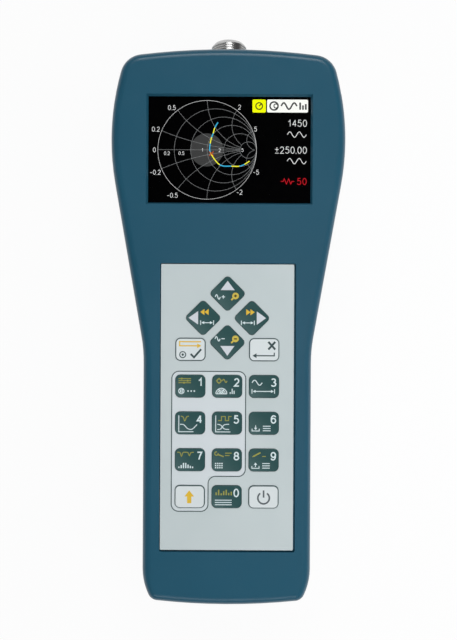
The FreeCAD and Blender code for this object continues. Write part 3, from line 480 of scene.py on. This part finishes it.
def shining(name, red, green, blue):
    """A colour that shines by itself, as a screen's dots do, a little uneven from dot to dot."""
    made = finish(name, (0, 0, 0, 1), 0.4, Emission_Strength=1.25)
    colour = srgb(red, green, blue)
    set_sockets(made, Emission_Color=made.mix(made.grain(0.12, 1.0), dimmed(colour, 0.86), colour))
    return made


def on_screen(name, made, parts):
    """A piece on the panel, its parts placed from the screen's middle."""
    piece(name, parts, made, "housing", screen)


# The middles of each numeral's strokes, in a box that is one wide and one tall.
numerals = {
    "0": [arc((0.5, 0.5), (0.5, 0.5), 90, 450, 32)],
    "1": [[(0.25, 0.72), (0.58, 0.82), (0.78, 1.0), (0.78, 0.0)]],
    "2": [np.concatenate([arc((0.48, 0.7), (0.46, 0.3), 165, -30, 18), [(0.0, 0.0), (1.0, 0.0)]])],
    "3": [arc((0.46, 0.765), (0.42, 0.235), 155, -90, 16), arc((0.46, 0.265), (0.52, 0.265), 90, -155, 18)],
    "4": [[(0.72, 0.0), (0.72, 1.0)], [(0.72, 1.0), (0.0, 0.3), (1.0, 0.3)]],
    "5": [[(0.9, 1.0), (0.2, 1.0), (0.12, 0.53)], arc((0.46, 0.33), (0.52, 0.33), 130, -155, 20)],
    "6": [arc((0.5, 0.32), (0.48, 0.32), 0, 360, 28),
          np.concatenate([[(0.02, 0.32)], arc((0.56, 0.56), (0.54, 0.44), 180, 35, 14)])],
    "7": [[(0.0, 1.0), (1.0, 1.0), (0.6, 0.5), (0.36, 0.0)]],
    "8": [arc((0.5, 0.75), (0.41, 0.25), 0, 360, 24), arc((0.5, 0.26), (0.5, 0.26), 0, 360, 28)],
    ".": [[(0.0, 0.07), (0.0, -0.05)]],
    "-": [[(0.0, 0.42), (0.7, 0.42)]],
    "±": [[(0.0, 0.6), (1.0, 0.6)], [(0.5, 0.28), (0.5, 0.92)], [(0.0, 0.02), (1.0, 0.02)]],
}
numerals["9"] = [1.0 - line for line in numerals["6"]]
narrow = {".": 0.0, "-": 0.7}
numeral_width, numeral_space = 0.5, 0.17  # shares of the height


def numbers(text, tall, weight, x, y, low, high, side=0.5):
    """Plain numbers: bands along the middles of their strokes. Their left end for side 0, their middle for
    0.5, or their right end for 1 is at x."""
    reach = np.array((numeral_width * tall, tall - weight))
    widths = [narrow.get(sign, 1.0) * reach[0] + weight for sign in text]
    space = numeral_space * tall
    starts = np.cumsum([0] + [width + space for width in widths])
    left = x - side * (starts[-1] - space) + weight / 2
    parts = []
    for sign, start in zip(text, starts):
        for line in numerals[sign]:
            line = np.asarray(line) * reach + (left + start, y - reach[1] / 2)
            closed = bool(np.allclose(line[0], line[-1]))
            parts.append(band(line[:-1] if closed else line, weight, low, high, closed))
    return parts


def wave(x, y, width, height, turns=1.0, steps=24):
    """Turns of a sine about (x, y), over a width and a height."""
    along = np.linspace(0, 1, steps + 1)
    return np.column_stack([x + (along - 0.5) * width, y + np.sin(along * turns * 2 * math.pi) * height / 2])


def smooth(points, steps=12):
    """A curve through all points. Between two of them it is the cubic whose slope at each end is half the
    step from the point before to the point after."""
    points = np.array(points, float)
    padded = np.concatenate([[2 * points[0] - points[1]], points, [2 * points[-1] - points[-2]]])
    a, b, c, d = (padded[k:len(padded) - 3 + k, None] for k in range(4))
    share = np.linspace(0, 1, steps, endpoint=False)[None, :, None]
    spans = (b + share * (c - a) / 2 + share ** 2 * (a - 2.5 * b + 2 * c - d / 2)
             + share ** 3 * (1.5 * (b - c) + (d - a) / 2))
    return np.concatenate([spans.reshape(-1, 2), points[-1:]])


chart_middle, chart_radius = np.array((-9.39, 0.31)), 20.8
chart_line, rim_line = 0.095, 0.11


def reflection(ratio):
    """Where an impedance lies on the chart: (z - 1) / (z + 1) times the chart's radius."""
    place = (ratio - 1) / (ratio + 1) * chart_radius
    return chart_middle + np.column_stack([place.real, place.imag])


# A resistance r is a circle of radius 1 / (1 + r) about r / (1 + r). A reactance is an arc that runs in from
# the rim, where the resistance is 0, to a last resistance.
on_screen("screen_rim", shining("lit_pale_grey", 232, 232, 232),
          [band(ring(chart_middle, chart_radius, 96), rim_line, *layer(2), closed=True)])
chart = []
for resistance in (0.2, 0.5, 1.0, 2.0, 5.0):
    middle = chart_middle + (resistance / (1 + resistance) * chart_radius, 0)
    circle_line = ring(middle, chart_radius / (1 + resistance), 64)
    chart.append(band(circle_line, chart_line, *layer(1), closed=True))
for reactance, last in ((0.2, 5.0), (0.5, 5.0), (1.0, 5.0), (2.0, 5.0), (5.0, 50.0)):
    resistances = np.linspace(0, 1, 40) ** 2 * last
    for sign in (1, -1):
        chart.append(band(reflection(resistances + sign * reactance * 1j), chart_line, *layer(1)))
axis_line = chart_middle + np.array([(-chart_radius, 0), (chart_radius * 2 / 3, 0)])
chart.append(band(axis_line, chart_line, *layer(1)))
on_screen("screen_chart", shining("lit_grey", 150, 151, 152), chart)
disc_middle, disc_radius = (-9.56, 0.31), 6.97
on_screen("screen_disc", shining("lit_dark_grey", 61, 61, 61),
          [plate(ring(disc_middle, disc_radius, 64), 0, dots / 2)])

# Each label's text and middle. The readouts end at one edge, and waves and a resistor stand for their units.
rim_labels = (("0.5", -24.34, 18.05), ("2", 4.15, 18.41), ("0.2", -31.05, 8.94), ("5", 10.96, 9.16),
              ("0", -31.64, 0.2), ("-0.2", -31.17, -9.22), ("-5", 11.26, -8.99), ("-0.5", -23.94, -18.89),
              ("-2", 4.34, -17.47))
axis_labels = (("0.2", -26.35, -1.17), ("0.5", -20.23, -1.14), ("1", -11.5, 0.3), ("2", -4.1, 0.2),
               ("5", 5.5, 0.3))
rim_tall, rim_weight, axis_tall, axis_weight = 2.05, 0.17, 1.5, 0.14
readout_tall, readout_weight, readout_edge = 2.95, 0.23, 32.6
unit_wave, unit_line = (8.0, 2.3, 2.0, 40), 0.25
readings = [part for text, x, y in rim_labels
            for part in numbers(text, rim_tall, rim_weight, x, y, *layer(1))]
readings += [part for text, x, y in axis_labels
             for part in numbers(text, axis_tall, axis_weight, x, y, *layer(2))]
readings += [part for text, y in (("1450", 11.72), ("±250.00", 0.38))
             for part in numbers(text, readout_tall, readout_weight, readout_edge, y, *layer(1), side=1.0)]
readings += [band(wave(readout_edge - 4.2, y, *unit_wave), unit_line, *layer(1)) for y in (6.95, -4.24)]
on_screen("screen_readings", shining("lit_white", 240, 241, 241), readings)
reference_line, reference_height = 0.3, -12.8
resistor = np.array([(-5.4, 0), (-4.4, 0), (-3.9, 1.1), (-3.0, -1.1), (-2.1, 1.1), (-1.2, -1.1), (-0.7, 0),
                     (0.3, 0)])
on_screen("screen_reference", shining("lit_red", 196, 22, 34),
          numbers("50", readout_tall, reference_line, readout_edge, reference_height, *layer(1), side=1.0)
          + [band(resistor + (readout_edge - 5.5, reference_height), reference_line, *layer(1))])

dash, trace_line = 8, 0.44     # a dash is so many steps of the curve, from one of its points to the next
trace = smooth([(-4.9, 11.9), (-6.2, 9.7), (-6.9, 7.3), (-7.5, 5.6), (-8.1, 3.0), (-8.0, -0.8), (-4.1, -5.9),
                (0.9, -6.5), (4.2, -6.5), (6.4, -5.7), (8.5, -4.3)], dash)
for start, name, colour in ((0, "screen_trace_blue", shining("lit_blue", 60, 180, 222)),
                            (dash, "screen_trace_yellow", shining("lit_yellow", 250, 244, 60))):
    on_screen(name, colour, [band(trace[k:k + dash + 1], trace_line, *layer(3))
                             for k in range(start, len(trace) - 1, 2 * dash)])
marker, marker_half, marker_line = np.array([(-7.56, -1.28)]), 0.9, 0.34
on_screen("screen_marker", shining("lit_orange", 196, 84, 34),
          [band(marker + np.array([(-lean, -1), (lean, 1)]) * marker_half, marker_line, *layer(4))
           for lean in (1, -1)])

yellow_box, white_box, box_radius = (12.43, 18.9, 5.67, 5.5), (24.4, 18.95, 17.28, 5.44), 0.6
for name, colour, box in (("yellow", (246, 252, 5), yellow_box), ("white", (252, 252, 246), white_box)):
    on_screen(f"screen_{name}_box", shining(f"lit_box_{name}", *colour),
              [plate(box_outline(*box, box_radius), *layer(0))])
x, y = yellow_box[:2]
glyphs = [band(ring((x, y), 1.4), 0.45, *layer(1), closed=True),
          band([(x, y), (x + 0.9, y + 0.9)], 0.45, *layer(1))]
x, y = white_box[:2]
glyphs += [band(ring((x - 5.7, y), 1.7), 0.6, *layer(1), closed=True),
           band(ring((x - 4.9, y), 0.85), 0.4, *layer(1), closed=True),
           band(wave(x + 0.6, y, 6.6, 2.7, 1.5), 0.62, *layer(1))]
glyphs += [band([(x + 5.3 + 1.2 * k, y - 1.5), (x + 5.3 + 1.2 * k, y + top)], 0.7, *layer(1))
           for k, top in enumerate((1.5, 0.3, 0.9))]
on_screen("screen_glyphs", shining("lit_black", 26, 27, 28), glyphs)


# ---------------------------------------------------------------- keypad sheets
# The overlay is a matt polyester sheet, pale grey with a lighter field inside a thin outline round seven of
# the keys. Under it lie a spacer, a printed circuit with its tail, and steel snap domes.
overlay_middle = face_of("keypad_overlay")
group_left, group_right, group_inner = -23.1, 7.75, -7.75
group_top, group_notch, group_bottom = 14.9, -28.88, -43.53
group_radius, group_line = 3.0, 0.4
field_blur = 0.1

overlay = finish("overlay_film", srgb(190, 202, 202), 0.42)
x, y = overlay.along("XY")
x, y = x - overlay_middle[0], y - overlay_middle[1]


def beyond(x, y, left, right, bottom, top, radius):
    """How far a point lies outside a box with round corners: its distance to the box shrunk by the radius,
    less the radius."""
    across = (abs(x - (left + right) / 2) - ((right - left) / 2 - radius)).most(0.0)
    along = (abs(y - (bottom + top) / 2) - ((top - bottom) / 2 - radius)).most(0.0)
    return (across ** 2 + along ** 2) ** 0.5 - radius


# The field is two boxes, and in the corner between them all that lies beyond a circle about (turn_x, turn_y).
field = beyond(x, y, group_left, group_right, group_notch, group_top, group_radius)
field = field.least(beyond(x, y, group_left, group_inner, group_bottom, group_notch + 2 * group_radius,
                           group_radius))
turn_x, turn_y = group_inner + group_radius, group_notch - group_radius
inside_turn = group_radius - beyond(x, y, turn_x, turn_x, turn_y, turn_y, 0.0)
inner_corner = beyond(x, y, turn_x - 2 * group_radius, turn_x, turn_y, turn_y + 2 * group_radius, 0.0)
field = field.least(inner_corner.most(inside_turn)).fade(field_blur, -field_blur)
fibre = overlay.grain(0.3, 2.0)
drift = overlay.grain(30.0, 2.0).fade(0.35, 0.65)
set_sockets(overlay, Roughness=0.38 + 0.1 * fibre, Normal=overlay.bump(fibre, 0.004),
            Base_Color=overlay.mix(field, overlay.mix(drift, srgb(194, 205, 206), srgb(199, 209, 210)),
                                   overlay.mix(drift, srgb(209, 218, 220), srgb(213, 220, 224))))
dress(overlay, "keypad_overlay")

group = rounded([(group_left, group_bottom), (group_inner, group_bottom), (group_inner, group_notch),
                 (group_right, group_notch), (group_right, group_top), (group_left, group_top)], group_radius)
piece("overlay_outline", [band(group, group_line, 0, ink, closed=True)], dark_ink, "housing",
      overlay_middle)

dress(moulded("spacer_film", srgb(196, 196, 190), srgb(206, 206, 201), 0.5, 0.004), "keypad_spacer")
circuit = finish("circuit_film", srgb(150, 158, 160), 0.3)
silver = circuit.grain(1.2, 0.0, (1, 0.15, 1)).fade(0.5, 0.53)
set_sockets(circuit, Base_Color=circuit.mix(silver, srgb(176, 180, 178), srgb(96, 104, 104)))
dress(circuit, "keypad_circuit")
dress(metal("dome_steel", (0.62, 0.61, 0.58, 1), 0.22, (1, 1, 1)), "snap_domes")


# ---------------------------------------------------------------- keys
# Hard caps moulded in matt plastic, dark green with a painted sheen towards each cap's lower left, or pale
# grey with a dark edge that is partly print and partly painted shade of the gap round the cap. Each is
# printed with plain signs, and ten of them with their number.
pale_keys = ("key_ok", "key_cancel", "key_function", "key_power")
key_flange, key_radius, edge_line, edge_blur = 0.3, 2.1, 0.36, 0.04
key_pale = sparked("key_pale", srgb(215, 222, 223), 0.4, 0.006)
x, y = key_pale.along("XY")

# A pale cap is dark within edge_line of its rim, on its top and its sides: partly a printed edge line, and
# partly painted shade of the gap round the cap.
edges = [beyond(x, y, low[0] + key_flange, high[0] - key_flange, low[1] + key_flange, high[1] - key_flange,
                key_radius) for low, high in map(corners_of, pale_keys)]
rim_print_and_shade = functools.reduce(Value.least, edges).fade(-edge_line - edge_blur, -edge_line + edge_blur)
shade = key_pale.mix(key_pale.grain(20.0), srgb(215, 222, 223), srgb(221, 228, 229))
set_sockets(key_pale, Base_Color=key_pale.mix(rim_print_and_shade, shade, srgb(70, 92, 94)))
dress(key_pale, *pale_keys)


def middle_of(name):
    """The middle of a CAD node's box, in millimetres."""
    return sum(corners_of(name)) / 2


def green_caps_painted_sheen(name, slant_of, *caps):
    """Dark green caps with a painted sheen, a painted highlight that grows paler towards their lower left
    corner.
    slant_of gives how far a point lies from its own cap's middle towards the upper right."""
    made = sparked(name, srgb(40, 80, 80), 0.4, 0.006)
    # Painted sheen: the green blends towards a paler green at each cap's lower left, with a little random
    # spread.
    share = slant_of(*made.along("XY")).fade(3.0, -6.5) ** 1.5 + 0.25 * (made.grain(5.0) - 0.5)
    set_sockets(made, Base_Color=made.mix(share.fade(0.0, 1.0), srgb(34, 77, 77), srgb(67, 97, 97)))
    dress(made, *caps)


diagonal = 0.707               # cosine of 45 degrees
number_keys = [f"key_{number}" for number in range(10)]
arrow_keys = ["key_up", "key_left", "key_right", "key_down"]
column, row = abs(middle_of("key_5") - middle_of("key_1"))[:2]
centre = middle_of("key_5")
cross = (middle_of("key_up") + middle_of("key_down")) / 2
arm = (middle_of("key_up") - middle_of("key_down"))[1] / 2 * diagonal


def number_slant(x, y):
    """The slant on the number keys, which repeat across by a column and along by a row."""
    return ((x - centre[0]).wrap(column / 2) + (y - centre[1]).wrap(row / 2)) * diagonal


def arrow_slant(x, y):
    """The slant on the arrow keys, which repeat along the diagonal by twice the arm."""
    return ((x - cross[0] + y - cross[1]) * diagonal - arm).wrap(arm)


# The number caps and the arrow caps, each with the painted sheen towards their lower left.
green_caps_painted_sheen("number_green_painted_sheen", number_slant, *number_keys)
green_caps_painted_sheen("arrow_green_painted_sheen", arrow_slant, *arrow_keys)


def printing_ink(name, red, green, blue):
    """Screen printing: slightly thin in places, and duller than the plastic under it."""
    colour = srgb(red, green, blue)
    made = finish(name, colour, 0.45)
    spread = made.grain(0.25, 2.0)
    set_sockets(made, Base_Color=made.mix(spread, dimmed(colour, 0.88), colour),
                Roughness=0.4 + 0.15 * spread)
    return made


ink_shades = {"white": (220, 236, 238), "yellow": (232, 190, 48), "olive": (156, 155, 68),
              "gold": (210, 188, 72), "brown": (80, 68, 22), "pale": (216, 221, 227), "grey": (92, 100, 104)}
inks = {name: printing_ink(name + "_ink", *shade) for name, shade in ink_shades.items()}
inks["dark"] = dark_ink
thin_line, sign_line = 0.35, 0.42
digit_tall, digit_weight = 3.6, 0.56


# Each of these draws a sign, with sizes and places from the key's middle.
def stroke(*points, width=thin_line):
    """A line through points."""
    return band(points, width, 0, ink)


def curve(*points):
    """A thin smooth line through points."""
    return stroke(*smooth(points, 5))


def circle(x, y, radius, width=thin_line):
    """A thin ring."""
    return band(ring((x, y), radius, 24), width, 0, ink, closed=True)


def blob(x, y, radius):
    """A filled round dot."""
    return plate(ring((x, y), radius, 12), 0, ink)


def block(x, y, width, height):
    """A filled box about (x, y) with its corners just broken."""
    return plate(box_outline(x, y, width, height, 0.08, 1), 0, ink)


def wedge(x, y, length, half, turn):
    """A filled triangle: its base's middle at (x, y), its tip at length along an angle in degrees."""
    c, s = math.cos(math.radians(turn)), math.sin(math.radians(turn))
    tip = (x + length * c, y + length * s)
    return plate([(x + half * s, y - half * c), tip, (x - half * s, y + half * c)], 0, ink)


def digit(text, x, y):
    """A key's number."""
    return numbers(text, digit_tall, digit_weight, x, y, 0, ink)


def sliders(x, y):
    """Three rails, each with its knob."""
    rows = ((0.85, -1.3), (0.0, 1.2), (-0.85, -0.3))
    return ([stroke((x - 2.6, y + row), (x + 2.6, y + row)) for row, knob in rows]
            + [block(x + knob, y + row, 0.7, 0.75) for row, knob in rows])


def rays(x, y, ways, start, end):
    """Short lines along ways that lead out from (x, y)."""
    return [stroke((x + start * a, y + start * b), (x + end * a, y + end * b)) for a, b in ways]


def lifebuoy(x, y):
    """Two rings with four spokes between them."""
    spokes = rays(x, y, ((1, 1), (-1, 1), (-1, -1), (1, -1)), 0.35, 0.8)
    return spokes + [circle(x, y, 1.12), circle(x, y, 0.45)]


def crosshair(x, y):
    """A ring with four ticks across it."""
    return rays(x, y, ((1, 0), (0, 1), (-1, 0), (0, -1)), 0.45, 1.3) + [circle(x, y, 0.85)]


def fan(x, y):
    """Half of a polar chart: three arcs, and two spokes over a base line in two halves."""
    arcs = [stroke(*arc((x, y), radius, 0, 180, 16)) for radius in (0.9, 1.6, 2.3)]
    return arcs + [stroke((x, y), arc((x, y), 2.3, turn, turn, 0)[0]) for turn in (0, 60, 120, 180)]


def span(x, y, width):
    """A measured length: an arrow each way between two short bars."""
    w = width / 2
    return [stroke((x - w, y - 0.95), (x - w, y + 0.95)), stroke((x + w, y - 0.95), (x + w, y + 0.95)),
            stroke((x - w + 1.2, y), (x + w - 1.2, y)),
            wedge(x - w + 1.5, y, 1.2, 0.62, 180), wedge(x + w - 1.5, y, 1.2, 0.62, 0)]


def tray(x, y, turn):
    """An arrow into an open tray for a turn of -90, out of it for 90."""
    stem = (y - 0.1, y + 1.2) if turn < 0 else (y - 0.6, y + 0.5)
    head = y + 0.2 if turn < 0 else y + 0.3
    return [stroke((x - 1.5, y - 0.2), (x - 1.5, y - 1.15), (x + 1.5, y - 1.15), (x + 1.5, y - 0.2)),
            stroke((x, stem[0]), (x, stem[1])), wedge(x, head, 0.95, 0.7, turn)]


def bars(x, y, pitch, *tops):
    """Upright bars on one base line, centred at x."""
    start = x - pitch * (len(tops) - 1) / 2
    return [block(start + pitch * k, y - 1.15 + top / 2, pitch * 0.55, top) for k, top in enumerate(tops)]


def squares(x, y, across, down, pitch):
    """Rows of squares, each 0.62 of the pitch wide."""
    side = pitch * 0.62
    return [block(x + pitch * (a - (across - 1) / 2), y + pitch * (b - (down - 1) / 2), side, side)
            for a in range(across) for b in range(down)]


def table(x, y, width):
    """Three lines, one over the other."""
    return [stroke((x - width / 2, y + row), (x + width / 2, y + row)) for row in (-0.95, 0.0, 0.95)]


def spanner(x, y):
    """An open jaw with its handle to the right."""
    return [stroke(*arc((x - 1.1, y + 0.3), 0.72, 75, 375, 14), width=sign_line),
            stroke((x - 0.6, y - 0.05), (x + 1.9, y - 0.95), width=0.5)]


def pencil(x, y):
    """A thick line with its tip down to the left."""
    return [stroke((x - 1.1, y - 0.6), (x + 1.7, y + 0.9), width=0.6), wedge(x - 1.1, y - 0.6, 0.9, 0.3, 208)]


def axes(x, y, width, height):
    """The two axes of a graph, which cross at (x, y)."""
    return [stroke((x, y + height), (x, y), (x + width, y))]


def magnifier(x, y):
    """A filled lens with its handle down to the left."""
    return [plate(ring((x, y), 1.4, 24), 0, ink), stroke((x - 0.9, y - 0.9), (x - 1.75, y - 1.7), width=0.7)]


def lens_sign(*lines):
    """A sign on a lens, one layer of ink above it."""
    return [band(line, 0.5, ink, 2 * ink) for line in lines]


def double_wedge(x, y, turn):
    """Two triangles in a row that point right for a turn of 0, left for 180."""
    step = 0.95 if turn == 0 else -0.95
    return [wedge(x - step, y, 1.75, 1.3, turn), wedge(x + step * 0.85, y, 1.75, 1.3, turn)]


def sine(x, y, width, tall):
    """One turn of a wave."""
    return [stroke(*wave(x, y, width, tall), width=thin_line + 0.04)]


def minus(x, y):
    """A short bar."""
    return [stroke((x - 0.7, y), (x + 0.7, y))]


def plus(x, y):
    """Two short bars that cross."""
    return minus(x, y) + [stroke((x, y - 0.7), (x, y + 0.7))]


# Each key's signs: inks, and what is printed in them.
legends = {
    "key_1": (("white", digit("1", 4.0, 1.7)), ("olive", sliders(-2.3, 2.3)),
              ("white", lifebuoy(-3.7, -2.0) + [blob(-0.9 + 1.3 * k, -2.0, 0.34) for k in range(3)])),
    "key_2": (("white", digit("2", 4.0, 1.7)), ("olive", crosshair(-3.4, 2.3) + sine(-1.0, 2.3, 1.9, 1.3)),
              ("white", fan(-2.4, -3.1) + bars(2.1, -2.0, 0.8, 0.8, 2.2, 1.4))),
    "key_3": (("white", digit("3", 4.0, 1.7) + sine(-2.9, 1.6, 4.2, 2.1) + span(-0.3, -2.0, 9.4)),),
    "key_4": (("white", digit("4", 3.9, 1.6) + axes(-4.7, -3.6, 6.15, 6.8)
               + [curve((-4.2, -0.5), (-2.6, -0.7), (-1.0, -2.3), (0.9, -2.5), (2.9, -0.6))]),
              ("olive", [curve((-3.9, 2.9), (-2.9, 2.5), (-2.2, 0.9), (-1.5, 2.5), (-0.5, 2.9))])),
    "key_5": (("white", digit("5", 3.9, 1.6) + axes(-4.7, -3.6, 6.15, 6.8)
               + [curve((-4.0, -2.7), (-2.6, -2.4), (-1.2, -0.7), (0.9, -0.4)),
                  curve((-4.0, -0.4), (-2.6, -0.8), (-1.2, -2.3), (0.9, -2.6))]),
              ("olive", [stroke((-3.7, 1.1), (-2.3, 1.1), (-2.3, 2.8), (-0.7, 2.8), (-0.7, 1.1), (0.7, 1.1),
                                (0.7, 2.8), (1.9, 2.8))])),
    "key_6": (("white", digit("6", 4.0, 1.7) + tray(-3.4, -2.0, -90) + table(1.2, -2.1, 3.2)),),
    "key_7": (("white", digit("7", 4.0, 1.7) + bars(-1.7, -2.3, 0.95, 0.7, 1.3, 2.2, 2.2, 1.5, 1.0, 0.7)),
              ("olive", [curve((-5.3, 3.2), (-4.1, 3.0), (-3.5, 1.5), (-2.9, 3.0), (-1.8, 3.2), (-0.8, 3.0),
                               (-0.2, 1.8), (0.4, 3.0), (1.6, 3.2))])),
    "key_8": (("white", digit("8", 4.0, 1.7) + squares(-3.3, -2.3, 4, 3, 0.88)),
              ("olive", spanner(-3.2, 2.4)
               + [stroke((-0.7, 2.9), (2.0, 2.9)), stroke((-0.7, 1.9), (1.2, 1.9))])),
    "key_9": (("white", digit("9", 4.0, 1.7) + tray(-3.4, -2.2, 90) + table(1.0, -2.3, 3.2)),
              ("olive", pencil(-3.0, 2.3) + [stroke((-0.6, 1.6), (0.9, 1.6))])),
    "key_0": (("white", digit("0", 4.0, 1.7) + table(-1.35, -2.3, 7.0)),
              ("olive", bars(-1.2, 1.85, 1.05, 1.2, 2.3, 0.8, 1.7, 2.3, 1.0, 1.5))),
    "key_function": (("yellow", [wedge(-0.2, 0.1, 2.6, 2.0, 90), block(-0.2, -1.3, 1.8, 2.8)]),),
    "key_power": (("grey", [stroke(*arc((0.05, -0.4), 2.4, 125, 415, 28), width=0.68),
                            stroke((0.05, -0.2), (0.05, 2.8), width=0.68)]),),
    "key_ok": (("yellow", [stroke((4.4, 3.2), (-4.5, 3.2), (-4.5, 1.5), (3.0, 1.5), width=0.5),
                           wedge(2.8, 1.5, 1.7, 1.0, 0)]),
               ("dark", [circle(-3.2, -2.2, 1.25, sign_line), blob(-3.2, -2.2, 0.5),
                         stroke((0.1, -1.9), (1.5, -3.3), (4.5, 0.1), width=0.8)])),
    "key_cancel": (("dark", [stroke((1.7, 0.1), (4.6, 3.3), width=0.85),
                             stroke((1.7, 3.3), (4.6, 0.1), width=0.85),
                             stroke((4.2, -1.2), (4.2, -2.5), (-3.6, -2.5), width=0.5),
                             wedge(-3.2, -2.5, 1.7, 1.0, 180)]),),
    "key_up": (("pale", [wedge(0, 1.4, 3.9, 2.95, 90)]),
               ("white", sine(-4.1, -1.45, 2.1, 1.9) + plus(-1.8, -1.4)),
               ("gold", magnifier(3.3, -1.0)),
               ("brown", lens_sign([(2.7, -1.0), (3.9, -1.0)], [(3.3, -1.6), (3.3, -0.4)]))),
    "key_down": (("pale", [wedge(0, -1.47, 4.08, 2.95, 270)]),
                 ("white", sine(-4.1, 1.5, 2.1, 1.9) + minus(-1.8, 1.55)),
                 ("gold", magnifier(3.35, 1.5)), ("brown", lens_sign([(2.7, 1.5), (4.0, 1.5)]))),
    "key_left": (("pale", [wedge(-2.05, 0, 4.0, 2.8, 180)]), ("white", span(1.7, -2.0, 5.4)),
                 ("yellow", double_wedge(1.4, 2.45, 180))),
    "key_right": (("pale", [wedge(2.0, 0, 3.9, 2.8, 0)]), ("white", span(-1.7, -2.0, 5.4)),
                  ("yellow", double_wedge(-1.45, 2.45, 0))),
}

# All that a key has in one ink is one piece, which goes down with the key.
for name, signs in legends.items():
    for colour in dict(signs):
        parts = [part for shade, drawn in signs if shade == colour for part in drawn]
        body = "button_" + name.removeprefix("key_")
        piece(f"{name}_{colour}_print", parts, inks[colour], body, face_of(name))


# ---------------------------------------------------------------- circuit boards
# Two glass-fibre boards under green solder mask, with tracks that show through it. The chips are cast in
# black resin and soldered on.
board = finish("solder_mask", srgb(18, 78, 50), 0.3)
tracks_along = board.grain(1.4, 0.0, (1, 0.06, 1)).fade(0.52, 0.54)
tracks_across = board.grain(1.4, 0.0, (0.06, 1, 1)).fade(0.56, 0.58)
tracks = tracks_along.most(tracks_across)
set_sockets(board, Base_Color=board.mix(tracks, srgb(14, 66, 42), srgb(34, 104, 66)),
            Normal=board.bump(tracks, 0.03), Roughness=0.26 + 0.08 * board.grain(8.0))
dress(board, "main_board", "rf_board")
dress(moulded("chip_resin", srgb(30, 30, 32), srgb(42, 42, 44), 0.55, 0.01), "board_chips")


# ---------------------------------------------------------------- battery
# Three cells in plain printed sleeves lie head to tail between coil springs and nickel-plated contacts, with
# red leads. A sleeve leaves a cell's two ends bare and has one pale band.
low, high = corners_of("battery_cells")
cells_middle, half_length = (low + high) / 2, (high - low)[1] / 2
cell_pitch, cell_nub, spring_room = 14.9, 1.2, 5.4
sleeve_start, sleeve_end = spring_room - half_length, half_length - cell_nub
bare_start, bare_end, sleeve_blur = 0.3, 0.5, 0.2
band_start, band_end = 14.9, 22.1
sleeve = finish("cell_sleeve", srgb(60, 92, 122), 0.3)
across, along = sleeve.along("XY")
turned = abs(across).fade(cell_pitch / 2 + 0.01, cell_pitch / 2 - 0.01)  # 1 on the middle cell
along = (along - cells_middle[1]) * (1 - 2 * turned)
bare = along.fade(sleeve_end - bare_end - sleeve_blur, sleeve_end - bare_end)
bare = bare.most(along.fade(sleeve_start + bare_start + sleeve_blur, sleeve_start + bare_start))
pale_band = along.fade(band_start, band_start + sleeve_blur) * along.fade(band_end, band_end - sleeve_blur)
shade = sleeve.mix(sleeve.grain(10.0), srgb(58, 88, 118), srgb(70, 102, 130))
shade = sleeve.mix(pale_band, shade, srgb(216, 220, 222))
set_sockets(sleeve, Base_Color=sleeve.mix(bare, shade, (0.6, 0.6, 0.58, 1)), Metallic=bare,
            Roughness=0.28 + 0.08 * sleeve.grain(3.0))
dress(sleeve, "battery_cells")
dress(moulded("red_sleeve", srgb(168, 24, 26), srgb(186, 34, 34), 0.4, 0.004), "battery_leads")
